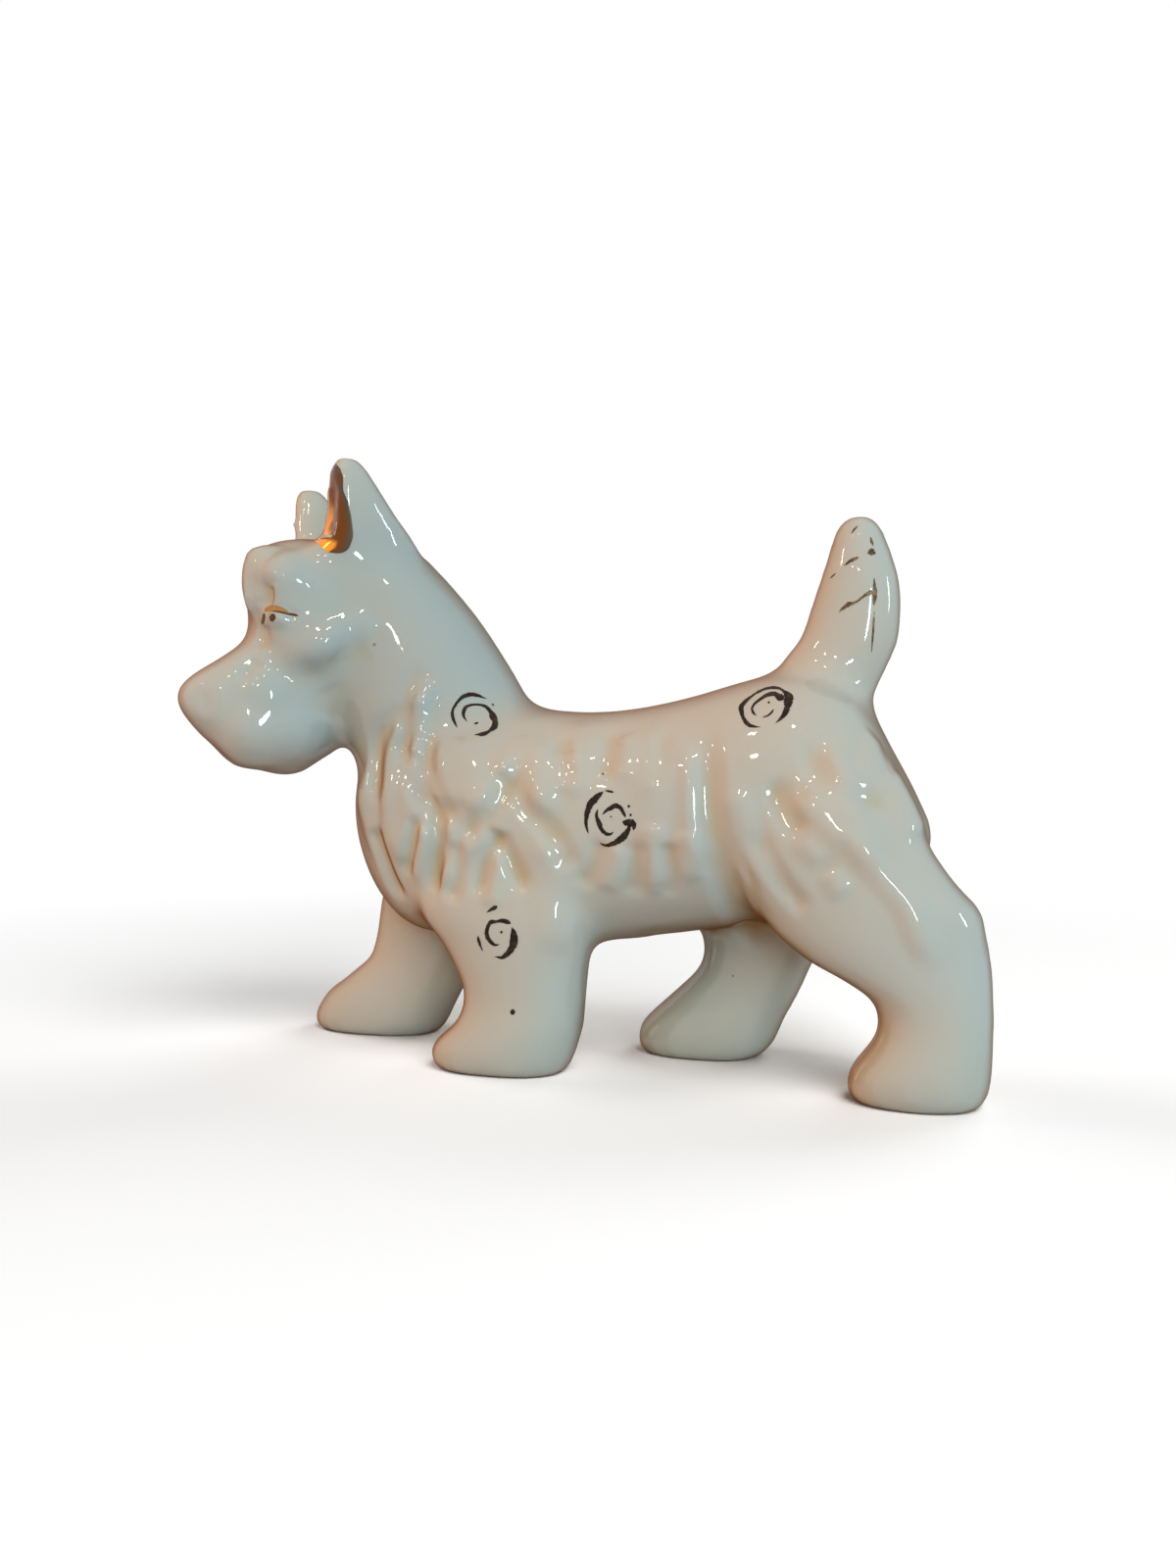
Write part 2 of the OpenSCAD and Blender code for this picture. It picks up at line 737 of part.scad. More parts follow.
// Luting slip between the cast pieces
module slip_neck()
    framed()
        color("linen")
            difference() {
                intersection() {
                    skin(neck_rings(-slip_back, trunk_sides));
                    past_neck(0);
                }
                past_neck(slip_t);
                head_hollow();
            }
module slip_ear(side)
    framed()
        color("linen")
            difference() {
                intersection() {
                    ear_form(side, -slip_back);
                    past_ears(0);
                }
                past_ears(slip_t);
            }
module slip_ear_left() slip_ear(LEFT);
module slip_ear_right() slip_ear(RIGHT);
module slip_tail()
    framed()
        color("linen")
            difference() {
                intersection() {
                    skin(tail_rings(-slip_back, limb_sides));
                    past_tail(0);
                }
                past_tail(slip_t);
            }
module slip_leg(leg)
    framed()
        color("linen")
            difference() {
                intersection() {
                    skin(leg_rings(leg, -slip_back, limb_sides));
                    below_legs(0);
                }
                below_legs(slip_t);
                leg_core(leg);
            }
module slip_front_left() slip_leg(LEGS[FORE_LEFT]);
module slip_front_right() slip_leg(LEGS[FORE_RIGHT]);
module slip_hind_left() slip_leg(LEGS[HIND_LEFT]);
module slip_hind_right() slip_leg(LEGS[HIND_RIGHT]);

// Gold lustre lines the cup of each ear
module ear_gilding(side)
    framed()
        color("goldenrod")
            difference() {
                intersection() {
                    ear_form(side, 0);
                    past_ears(slip_t);
                    ear_cup(side, 0);
                }
                ear_cup(side, -lustre_t);
            }
module ear_gilding_left() ear_gilding(LEFT);
module ear_gilding_right() ear_gilding(RIGHT);

// The stamps and strokes are thin skins: what a grown form holds beyond the form itself
module swirl() {
    difference() {
        circle(d = swirl_d, $fn = swirl_sides);
        translate([-0.045 * swirl_d, 0.03 * swirl_d])
            circle(d = 0.84 * swirl_d, $fn = swirl_sides);
        translate([-0.5 * swirl_d, -0.42 * swirl_d])
            circle(d = 0.5 * swirl_d, $fn = swirl_sides);
    }
    difference() {
        circle(d = 0.52 * swirl_d, $fn = swirl_sides);
        translate([-0.015 * swirl_d, 0.01 * swirl_d])
            circle(d = 0.36 * swirl_d, $fn = swirl_sides);
        translate([0.02 * swirl_d, -0.3 * swirl_d])
            circle(d = 0.24 * swirl_d, $fn = swirl_sides);
    }
    circle(d = 0.11 * swirl_d, $fn = core_sides);
}
module swirl_block(place, side, tilt, turn)
    translate(place)
        rotate([90 + side * tilt, 0, side == LEFT ? 0 : 180])
            rotate([0, 0, turn])
                linear_extrude(height = 2 * over, center = true)
                    swirl();

module trunk_stamp(shares, side)
    framed()
        color("saddlebrown")
            difference() {
                intersection() {
                    whole_trunk(paint_t, trunk_sides);
                    swirl_block(
                        trunk_at(shares[0], shares[1], side, 0),
                        side, shares[2], side == LEFT ? shares[3] : shares[4]
                    );
                }
                whole_trunk(0, trunk_sides);
            }
module leg_stamp(leg, shares)
    framed()
        color("saddlebrown")
            difference() {
                intersection() {
                    skin(leg_rings(leg, paint_t, limb_sides));
                    union() {
                        swirl_block(leg_at(leg, shares[0], shares[1], 0), leg[2], 0, shares[2]);
                        translate(leg_at(leg, speck_shares[0], speck_shares[1], 0))
                            rotate([90, 0, 0])
                                cylinder(d = speck_d, h = 2 * over, center = true, $fn = core_sides);
                    }
                }
                skin(leg_rings(leg, 0, limb_sides));
            }
module stamp_shoulder_left() trunk_stamp(shoulder_stamp_shares, LEFT);
module stamp_barrel_left() trunk_stamp(barrel_stamp_shares, LEFT);
module stamp_rump_left() trunk_stamp(rump_stamp_shares, LEFT);
module stamp_foreleg_left() leg_stamp(LEGS[FORE_LEFT], foreleg_left_stamp_shares);
module stamp_shoulder_right() trunk_stamp(shoulder_stamp_shares, RIGHT);
module stamp_barrel_right() trunk_stamp(barrel_stamp_shares, RIGHT);
module stamp_rump_right() trunk_stamp(rump_stamp_shares, RIGHT);
module stamp_foreleg_right() leg_stamp(LEGS[FORE_RIGHT], foreleg_right_stamp_shares);

// Eye: a pupil, a lash line that runs back from it and a stroke at the inner corner
module stroke(points, radii)
    for (i = [0:len(points) - 2])
        hull() {
            translate(points[i])
                circle(r = radii[i], $fn = stroke_sides);
            translate(points[i + 1])
                circle(r = radii[i + 1], $fn = stroke_sides);
        }
eye_place = [0.178 * head_l, 0.645 * head_h];
eye_w = 0.08 * head_l;
lash_shares = [[-0.34, 0.06], [-0.08, 0.24], [0.22, 0.20], [0.50, 0.08], [0.78, 0.04]];
lash_r_shares = [0.035, 0.06, 0.06, 0.045, 0.02];
corner_shares = [[-0.36, 0.10], [-0.42, -0.12], [-0.46, -0.32]];
corner_r_shares = [0.04, 0.07, 0.03];
module eye_marks() {
    circle(d = 0.26 * eye_w, $fn = core_sides);
    stroke([for (p = lash_shares) p * eye_w], [for (r = lash_r_shares) r * eye_w]);
    stroke([for (p = corner_shares) p * eye_w], [for (r = corner_r_shares) r * eye_w]);
}
module eye_paint(side)
    framed()
        color("saddlebrown")
            difference() {
                intersection() {
                    head_form(paint_t, head_sides);
                    in_head()
                        translate([-eye_place[0], 0, chin_z + eye_place[1]])
                            rotate([90, 0, 0])
                                translate([0, 0, side == LEFT ? 0 : -head_w])
                                    linear_extrude(height = head_w)
                                        eye_marks();
                }
                head_form(0, head_sides);
            }
module eye_paint_left() eye_paint(LEFT);
module eye_paint_right() eye_paint(RIGHT);

// Worn gold strokes on both sides of the tail, and one thin upright line
tail_stroke_shares = [
    [[0.03, 0.86], [0.14, 0.90]],
    [[0.17, 0.74], [0.28, 0.81]],
    [[-0.02, 0.60], [0.14, 0.65], [0.25, 0.72]],
    [[-0.04, 0.41], [0.12, 0.44], [0.24, 0.51]]
];
tail_line_shares = [[0.28, 0.54], [0.27, 0.34], [0.24, 0.12]];
tail_stroke_r = 0.025 * tail_l;
module tail_marks() {
    for (row = tail_stroke_shares)
        stroke(
            [for (p = row) [p[0] * tail_l, p[1] * tail_h]],
            [for (i = [0:len(row) - 1]) tail_stroke_r]
        );
    stroke(
        [for (p = tail_line_shares) [p[0] * tail_l, p[1] * tail_h]],
        [for (p = tail_line_shares) tail_stroke_r / 2]
    );
}
module tail_gilding()
    framed()
        color("goldenrod")
            difference() {
                intersection() {
                    skin(tail_rings(paint_t, limb_sides));
                    past_tail(slip_t);
                    translate([tail_x, 0, tail_z])
                        rotate([90, 0, 0])
                            linear_extrude(height = 2 * tail_w, center = true)
                                tail_marks();
                }
                skin(tail_rings(0, limb_sides));
            }

trunk();
head();
ear_left();
ear_right();
tail();
leg_front_left();
leg_front_right();
leg_hind_left();
leg_hind_right();
slip_neck();
slip_ear_left();
slip_ear_right();
slip_tail();
slip_front_left();
slip_front_right();
slip_hind_left();
slip_hind_right();
ear_gilding_left();
ear_gilding_right();
eye_paint_left();
eye_paint_right();
stamp_shoulder_left();
stamp_barrel_left();
stamp_rump_left();
stamp_foreleg_left();
stamp_shoulder_right();
stamp_barrel_right();
stamp_rump_right();
stamp_foreleg_right();
tail_gilding();
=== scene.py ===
# %% [markdown]
# # A glazed porcelain terrier
# This lesson dresses a small hollow porcelain dog. The real one is cast from slip in nine
# pieces, luted together while leather-hard, wiped smooth, fired, dipped in clear glaze and
# fired again. Then its gold lustre, its eyes and its swirl stamps go on top of the glaze.
# The construction is already there as a frame of exact solids. Here they get their skin:
# one soft, continuous surface, modelled fur, glaze, gold and worn stamps.

# %% The frame
import math

import bmesh
import bpy
import numpy as np
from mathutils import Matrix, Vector
from mathutils.bvhtree import BVHTree
from mathutils.kdtree import KDTree


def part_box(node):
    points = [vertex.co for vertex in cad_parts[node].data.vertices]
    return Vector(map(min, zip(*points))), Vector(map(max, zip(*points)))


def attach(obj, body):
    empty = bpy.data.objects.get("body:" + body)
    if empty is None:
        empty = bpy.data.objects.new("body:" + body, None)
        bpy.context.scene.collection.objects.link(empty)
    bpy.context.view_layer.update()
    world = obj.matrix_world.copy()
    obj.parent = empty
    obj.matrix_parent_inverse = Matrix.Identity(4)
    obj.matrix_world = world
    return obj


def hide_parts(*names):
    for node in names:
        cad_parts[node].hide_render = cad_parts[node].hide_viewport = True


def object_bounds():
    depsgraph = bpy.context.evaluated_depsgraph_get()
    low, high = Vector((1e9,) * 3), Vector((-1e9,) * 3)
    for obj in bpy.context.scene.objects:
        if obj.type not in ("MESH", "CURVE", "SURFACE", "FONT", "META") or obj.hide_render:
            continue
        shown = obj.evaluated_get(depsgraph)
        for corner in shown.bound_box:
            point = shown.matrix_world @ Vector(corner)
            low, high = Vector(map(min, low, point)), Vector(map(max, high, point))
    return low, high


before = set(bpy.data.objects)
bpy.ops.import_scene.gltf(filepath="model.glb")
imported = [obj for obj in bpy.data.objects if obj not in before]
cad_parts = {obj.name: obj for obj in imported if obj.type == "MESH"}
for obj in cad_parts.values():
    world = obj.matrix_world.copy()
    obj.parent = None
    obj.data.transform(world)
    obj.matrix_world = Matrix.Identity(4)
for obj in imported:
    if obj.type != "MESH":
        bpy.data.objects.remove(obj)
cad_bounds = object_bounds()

MM = 0.001
SIDES = ("left", "right")
CAST = ["trunk", "head", "ear_left", "ear_right", "tail"]
CAST += [f"leg_{end}_{side}" for end in ("front", "hind") for side in SIDES]
SLIPS = sorted(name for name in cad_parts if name.startswith("slip_"))
print("CAD box", cad_bounds)

# %% [markdown]
# ## The camera
# The picture was taken almost level, from the height of the dog's back and about one and a
# half dog lengths away. The camera comes first, because the fur, the eye and the stamps are
# placed along its lines of sight: a pixel of the picture becomes a ray, and the ray finds
# its point on the clay.

# %% The camera
PICTURE_W = 1200
PICTURE_H = 1600
FOCUS_PX = 1200
EYE = np.array([45.36, -135.31, 34.5]) * MM
YAW = math.radians(17.8)
PITCH = math.radians(0.48)

ahead = np.array([-math.sin(YAW) * math.cos(PITCH), math.cos(YAW) * math.cos(PITCH), -math.sin(PITCH)])
rightward = np.array([math.cos(YAW), math.sin(YAW), 0.0])
upward = np.cross(rightward, ahead)

lens = bpy.data.cameras.new("camera")
lens.lens = lens.sensor_width * FOCUS_PX / PICTURE_H
lens.clip_start = 0.01
camera = bpy.data.objects.new("camera", lens)
bpy.context.scene.collection.objects.link(camera)
camera.location = EYE
camera.rotation_euler = (math.pi / 2 - PITCH, 0.0, YAW)
bpy.context.scene.camera = camera
print("lens", round(lens.lens, 2), "mm")


def sight(px, py):
    """The direction in which the camera sees a pixel of the picture."""
    ray = ahead + rightward * (px - PICTURE_W / 2) / FOCUS_PX + upward * (PICTURE_H / 2 - py) / FOCUS_PX
    return ray / np.linalg.norm(ray)


# %% [markdown]
# ## The clay form
# On the real dog no seam shows: the maker wipes slip over every joint. So the nine cast
# pieces are copied and joined, and a voxel remesh melts them into one skin. The frame is
# hollow and breathes through a vent, so the vent is plugged first. Then the remesh takes
# the sealed inside for solid. Boolean unions could do it too, but they would keep every
# facet and every hard crease.

# %% Join the cast pieces
def new_mesh(name, corners, faces):
    mesh = bpy.data.meshes.new(name)
    mesh.from_pydata(np.asarray(corners).tolist(), [], faces)
    mesh.update()
    return mesh


def new_object(name, mesh):
    made = bpy.data.objects.new(name, mesh)
    bpy.context.scene.collection.objects.link(made)
    return made


def places(mesh):
    """The corners of a mesh as rows of x, y and z."""
    co = np.empty(len(mesh.vertices) * 3)
    mesh.vertices.foreach_get("co", co)
    return co.reshape(-1, 3)


def faces_of(mesh):
    return [list(polygon.vertices) for polygon in mesh.polygons]


def tree_of(mesh):
    """The faces of a mesh, ready for rays and for the nearest place."""
    return BVHTree.FromPolygons(places(mesh).tolist(), faces_of(mesh))


corners, faces = [], []


def join(part, part_faces):
    """Adds corners to the clay, with the faces that count from them."""
    start = sum(len(other) for other in corners)
    corners.append(part)
    faces.extend([v + start for v in face] for face in part_faces)


for name in CAST + SLIPS:
    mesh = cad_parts[name].data
    join(places(mesh), faces_of(mesh))

# The vent is the one hole in the belly: a plug inside the wall covers it.
VENT_X = 6.7 * MM
VENT_ASIDE = 2.4 * MM
PLUG_HALF = 2.2 * MM
PLUG_THICK = 1.0 * MM
MIDDLE_Y = 0.79 * MM
BOX_FACES = [(0, 1, 3, 2), (4, 6, 7, 5), (0, 4, 5, 1), (2, 3, 7, 6), (0, 2, 6, 4), (1, 5, 7, 3)]
trunk_tree = tree_of(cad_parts["trunk"].data)
belly_z = trunk_tree.ray_cast(Vector((VENT_X, MIDDLE_Y - VENT_ASIDE, 0)), Vector((0, 0, 1)))[0].z
signs = np.array([(i, j, k) for i in (-1, 1) for j in (-1, 1) for k in (0, 1)], float)
join(np.array([VENT_X, MIDDLE_Y, belly_z]) + signs * [PLUG_HALF, PLUG_HALF, PLUG_THICK], BOX_FACES)
clay = new_object("clay", new_mesh("clay", np.concatenate(corners), faces))
print("joined", len(clay.data.vertices), "corners")

# %% Melt them into one skin
VOXEL = 0.70 * MM


def evaluated(made):
    """The object's mesh with its modifiers applied."""
    graph = bpy.context.evaluated_depsgraph_get()
    return bpy.data.meshes.new_from_object(made.evaluated_get(graph))


def applied(made, kind, **settings):
    """Gives the object the mesh that one modifier makes of it."""
    modifier = made.modifiers.new(kind, kind)
    for key, value in settings.items():
        setattr(modifier, key, value)
    mesh = evaluated(made)
    made.modifiers.remove(modifier)
    made.data = mesh
    return mesh


skin_mesh = applied(clay, "REMESH", mode="VOXEL", voxel_size=VOXEL)
print("melted into", len(skin_mesh.vertices), "corners")

# %% [markdown]
# ## A wet sponge
# A leather-hard cast is wiped with a sponge, which takes off every ridge and fills every
# corner a little. Moving each corner to the mean of its neighbours does the same, but
# shrinks the form. So each step inward is followed by a slightly larger step outward, which
# keeps the volume. A subdivision surface would be shorter, but it needs even quads.

# %% The sponge
SPONGE_ROUNDS = 60
INWARD = 0.55
OUTWARD = -0.5656


def links_of(mesh):
    """The edges as rows of two corner numbers, and how many edges meet in each corner."""
    links = np.empty(len(mesh.edges) * 2, np.int64)
    mesh.edges.foreach_get("vertices", links)
    links = links.reshape(-1, 2)
    return links, np.bincount(links.ravel(), minlength=len(mesh.vertices))[:, None]


co = places(skin_mesh)
edges, degree = links_of(skin_mesh)


def neighbours_mean(values):
    """For each corner, the mean of the values at its neighbours."""
    total = np.empty_like(values)
    for column in range(values.shape[1]):
        here = values[:, column]
        total[:, column] = np.bincount(edges[:, 0], here[edges[:, 1]], len(values))
        total[:, column] += np.bincount(edges[:, 1], here[edges[:, 0]], len(values))
    return total / degree


def sponged(values, rounds):
    for _ in range(rounds):
        for step in (INWARD, OUTWARD):
            values = values + step * (neighbours_mean(values) - values)
    return values


def normals_of(co, mesh):
    """Moves the mesh's corners to their places and reads its normals there."""
    mesh.vertices.foreach_set("co", co.ravel())
    mesh.update()
    normals = np.empty(len(co) * 3)
    mesh.vertices.foreach_get("normal", normals)
    return normals.reshape(-1, 3)


co = sponged(co, SPONGE_ROUNDS)

# Slip collects in every inner corner and rounds it, but not in the cups of the ears.
SLIP_ROUNDS = 34
SLIP_TOP = 60 * MM
SLIP_FOOT = 1 * MM
FILL_STEP = 0.5


def slipped(co, share, rounds):
    """Fills the corners that lie in a hollow, each by its share."""
    for _ in range(rounds):
        pull = neighbours_mean(co) - co
        outward = (pull * normals_of(co, skin_mesh)).sum(1)[:, None]
        co = co + np.where(outward > 0, FILL_STEP * pull, 0) * share
    return co


co = slipped(co, (co[:, 2:] < SLIP_TOP) & (co[:, 2:] > SLIP_FOOT), SLIP_ROUNDS)

# The nape, the root of the tail, the buttocks, the brow and the feet of the ears are wiped softer
# still: for each, a middle and a reach in millimetres.
SOFT_PLACES = [((-6.0, 0.8, 43.0), 14), ((33.0, 0.8, 45.5), 14), ((40.0, 0.8, 36.5), 14),
               ((-43.0, -1.0, 59.0), 11), ((-21.0, 2.0, 62.5), 9), ((-18.0, 16.0, 44.0), 13)]
EAR_REACH = 8
WIPE_CORE = 1.3
WIPE_ROUNDS = 90
LAST_ROUNDS = 6


def middle_of(name):
    low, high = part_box(name)
    return (low + high) / 2


def eased(share):
    """From 0 to 1 with a soft start and a soft end."""
    return share * share * (3 - 2 * share)


SOFT_PLACES += [(tuple(middle_of(f"slip_ear_{side}") / MM), EAR_REACH) for side in SIDES]
softness = np.zeros((len(co), 1))
for middle, reach in SOFT_PLACES:
    gap = np.linalg.norm(co - np.array(middle) * MM, axis=1)[:, None]
    softness = np.maximum(softness, eased(np.clip(WIPE_CORE - gap / (reach * MM), 0, 1)))
co = slipped(co, softness, WIPE_ROUNDS)
co = co + softness * (sponged(co, SPONGE_ROUNDS) - co)
co = sponged(co, LAST_ROUNDS)
print("softened", int((softness > 0.5).sum()), "corners")
normals_of(co, skin_mesh)
skin_mesh = applied(clay, "SUBSURF", levels=1)
co = places(skin_mesh)
edges, degree = links_of(skin_mesh)
form_normals = normals_of(co, skin_mesh)
form = tree_of(skin_mesh)
print("sponged box", co.min(0) / MM, co.max(0) / MM)

# %% [markdown]
# ## The modeller's strokes
# The fur is a set of strokes of a wooden tool, pressed in or laid on. Each one is listed
# with its height, its width and its run in the picture, in pixels. Rays carry the run on
# to the clay. The strokes near a corner then lift or press it along the surface's normal.
# The far side gets the same strokes, mirrored, since nobody has seen it. The shape fades
# to nothing across and along the stroke, as a boxwood tool leaves it. Painted fur on a bump
# map would be cheaper, but it would leave the highlights and the outline smooth.

# %% Strokes seen in the picture
CHEST_STROKES = [
    (-0.3, 1.7, [(437, 679), (420, 702), (407, 722), (398, 738)]),
    (0.45, 1.5, [(446, 692), (428, 712), (414, 738), (406, 765)]),
    (-0.7, 1.6, [(402, 726), (393, 745), (388, 759), (383.5, 789), (384, 822)]),
    (0.45, 1.6, [(404, 728), (399, 750), (396, 775), (395, 815), (399, 855), (410, 890)]),
    (-0.45, 1.3, [(421, 710), (416, 735), (414, 762), (413, 785)]),
    (0.55, 1.5, [(431, 704), (430, 727), (427, 758), (421, 774)]),
    (-1.0, 1.4, [(417, 786), (428, 809), (437, 826), (445, 844), (448, 862), (446, 881), (440, 905),
                 (433, 926)]),
    (0.35, 1.5, [(409, 790), (414, 810), (415, 835), (411, 865), (412, 890)]),
    (-0.55, 1.1, [(424, 829), (422, 850), (417, 873), (414, 897)]),
    (0.45, 1.1, [(432, 838), (430, 858), (427, 880), (424, 905)]),
    (-0.8, 1.3, [(379, 842), (384, 858), (392, 881), (401, 902), (413, 921)]),
    (0.5, 1.4, [(456, 828), (456, 870), (453, 908)]),
    (-0.6, 1.3, [(465, 855), (465, 888), (458, 925)]),
    # the leaf shaped lock on the shoulder
    (0.55, 4.6, [(476, 745), (477, 789), (472, 830)]),
    (-0.75, 1.5, [(435, 743), (435, 778), (444, 814), (466, 848)]),
    (-0.75, 1.5, [(520, 780), (509, 814), (489, 842), (470, 855)]),
    (0.4, 1.4, [(515, 750), (511, 796), (495, 819), (478, 836)]),
    (0.4, 1.5, [(538, 745), (523, 778), (514, 795)]),
    (0.45, 1.5, [(516, 808), (499, 835), (483, 860), (467, 883), (455, 915)]),
    (-0.6, 1.2, [(507, 846), (504, 854), (495, 888), (487, 920)]),
    (-0.6, 1.2, [(508, 846), (515, 865), (527, 888), (539, 912)]),
    (0.4, 1.5, [(507, 862), (504, 899), (503, 930)]),
    (0.5, 2.6, [(556, 850), (560, 885), (568, 930), (570, 985)]),
]
FLANK_STROKES = [
    (0.5, 1.7, [(554, 750), (545, 778), (550, 810), (570, 834)]),
    (-0.6, 1.5, [(530, 775), (536, 821), (561, 847), (575, 872), (583, 892)]),
    (0.35, 1.6, [(563, 765), (565, 790), (575, 812)]),
    (-0.35, 1.2, [(573, 748), (575, 775), (584, 800)]),
    (0.35, 1.5, [(586, 762), (586, 790), (592, 815)]),
    (-0.35, 1.4, [(625, 742), (622, 770), (614, 800)]),
    (0.35, 1.6, [(641, 745), (640, 772), (634, 800)]),
    (-0.35, 1.4, [(676, 742), (672, 775), (664, 805)]),
    (-0.5, 1.5, [(616, 855), (606, 880), (593, 908)]),
    (-0.45, 1.4, [(652, 855), (650, 885), (645, 918)]),
    (0.55, 1.7, [(665, 835), (667, 872), (675, 918)]),
    (-0.5, 1.4, [(682, 855), (681, 885), (681, 918)]),
    (0.4, 1.5, [(699, 845), (701, 870), (708, 905)]),
    (0.35, 1.5, [(632, 860), (626, 885), (618, 912)]),
    # the thigh
    (-0.9, 1.9, [(716, 728), (721, 790), (724, 840), (737, 892), (752, 930), (783, 962)]),
    (0.45, 1.6, [(706, 750), (707, 800), (710, 845), (722, 890)]),
    (0.45, 1.7, [(745, 800), (757, 832), (768, 866), (792, 912)]),
    (-0.6, 1.4, [(768, 842), (783, 879), (804, 910), (826, 934)]),
    (-0.6, 1.5, [(790, 790), (796, 818), (808, 840), (828, 860)]),
    (-0.55, 1.6, [(828, 745), (833, 780), (852, 805), (885, 816), (914, 814)]),
    (0.45, 1.6, [(889, 745), (891, 772), (884, 798)]),
    (0.45, 1.6, [(815, 806), (836, 838), (864, 866)]),
    (0.4, 1.4, [(812, 842), (824, 862), (844, 882)]),
    (0.4, 1.4, [(845, 888), (853, 902), (864, 914)]),
    (0.6, 1.7, [(868, 838), (885, 870), (906, 897), (929, 925), (943, 960), (966, 995)]),
]
HEAD_STROKES = [
    # brow, socket, eyeball, lid and tear line
    (0.25, 3.0, [(262, 588), (272, 586), (284, 588)]),
    (-0.85, 2.8, [(259, 609), (268, 607), (280, 609)]),
    (0.5, 1.3, [(280, 631), (286, 631)]),
    (-0.25, 0.8, [(272, 623), (286, 622), (297, 626), (306, 630)]),
    (-0.5, 1.5, [(269, 636), (269.5, 650), (270, 666)]),
    (-0.26, 1.9, [(271, 594), (269, 606), (268, 622)]),
    # cheek and muzzle
    (0.66, 2.5, [(276, 671), (304, 669), (326, 662), (346, 650), (367, 636), (386, 620)]),
    (-0.35, 3.6, [(300, 692), (329, 684), (354, 668), (378, 652)]),
    (-0.45, 1.6, [(264, 671), (254, 682), (243, 694)]),
    (0.45, 2.6, [(268, 702), (276, 706)]),
    (-0.25, 3.0, [(330, 700), (338, 716), (330, 736)]),
    (0.25, 1.3, [(192, 712), (197, 716)]),
    (-0.25, 0.8, [(203, 706), (208, 716), (204, 727)]),
]
# On the near side alone: the cup of the ear, the edge of the brow and the edge of the buttock
NEAR_STROKES = [
    (-0.4, 2.4, [(341, 484), (338, 510), (335, 535), (333, 553)]),
    (1.15, 3.4, [(284, 551), (268, 560), (259, 576), (257, 595), (260, 612), (265, 630)]),
    (0.55, 3.2, [(903, 784), (917, 806), (931, 834), (941, 858)]),
]
print(len(CHEST_STROKES + FLANK_STROKES + HEAD_STROKES + NEAR_STROKES), "strokes")

# %% Strokes on the clay
HEAD_TURN = math.radians(40)
HEAD_PIVOT = np.array([-31.2, 0.79, 0.0]) * MM
head_side = np.array([-math.sin(HEAD_TURN), math.cos(HEAD_TURN), 0.0])
trunk_side = np.array([0.0, 1.0, 0.0])
trunk_middle = np.array([0.0, MIDDLE_Y, 0.0])


def smooth_run(points, count):
    """Points along a curve through the given ones, evenly spread by number."""
    points = np.array(points, float)
    line = np.concatenate([2 * points[:1] - points[1:2], points, 2 * points[-1:] - points[-2:-1]])
    places_on = np.linspace(0, len(points) - 1.0001, count)
    k = places_on.astype(int)
    t = (places_on - k)[:, None]
    a, b, c, d = (line[k + i] for i in range(4))
    return 0.5 * (2 * b + (c - a) * t + (2 * a - 5 * b + 4 * c - d) * t**2 + (3 * b - a - 3 * c + d) * t**3)


def seen_at(px, py):
    """The place and the normal of the form that the camera sees at a pixel, or None."""
    place, normal, *_ = form.ray_cast(Vector(EYE), Vector(sight(px, py)))
    return None if place is None else (place, normal)


def mirrored(point, middle, side):
    """The point's image in a mirror through the middle that faces the side."""
    point = np.array(point)
    return point - 2 * np.dot(point - middle, side) * side


TAPER = 0.22
SHORT_RUN = 3


def carve(co, run, height, width):
    """Moves the corners near a run of (place, normal) pairs along their normals."""
    centre = np.array([place for place, _ in run])
    facing = np.array([normal for _, normal in run])
    index = np.flatnonzero(((co > centre.min(0) - width) & (co < centre.max(0) + width)).all(1))
    gap = np.linalg.norm(co[index, None] - centre[None], axis=2)
    nearest = gap.argmin(1)
    across = gap.min(1) / width
    along = nearest / max(len(centre) - 1, 1)
    ends = eased(np.clip(np.minimum(along, 1 - along) / TAPER, 0, 1)) if len(centre) > SHORT_RUN else 1.0
    agrees = np.clip((form_normals[index] * facing[nearest]).sum(1) * 2 - 0.4, 0, 1)
    amount = np.clip(1 - across**2, 0, None) ** 2 * ends * agrees
    lift[index] += height * amount


lift = np.zeros(len(co))
# The mirror of each set of strokes, and how hard and how broad the tool was
SETS = [(CHEST_STROKES, trunk_middle, trunk_side, 0.90, 1.35),
        (FLANK_STROKES, trunk_middle, trunk_side, 0.80, 1.35),
        (HEAD_STROKES, HEAD_PIVOT, head_side, 0.80, 1.20),
        (NEAR_STROKES, None, None, 1.0, 1.0)]
STROKE_STEP_PX = 2.8
missed = 0
for strokes, middle, side, hard, broad in SETS:
    for height, width, points in strokes:
        length = np.linalg.norm(np.diff(np.array(points, float), axis=0), axis=1).sum()
        pixels = smooth_run(points, max(2, int(length / STROKE_STEP_PX)))
        run = [hit for hit in (seen_at(*p) for p in pixels) if hit]
        missed += len(pixels) - len(run)
        if not run:
            continue
        carve(co, run, height * hard * MM, width * broad * MM)
        if strokes is not NEAR_STROKES:
            other = [form.find_nearest(Vector(mirrored(place, middle, side)))[:2] for place, _ in run]
            carve(co, other, height * hard * MM, width * broad * MM)
print("missed", missed, "deepest", lift.min() / MM, "highest", lift.max() / MM)

AFTER_STROKES = 2
co = co + form_normals * lift[:, None]
co = sponged(co, AFTER_STROKES)

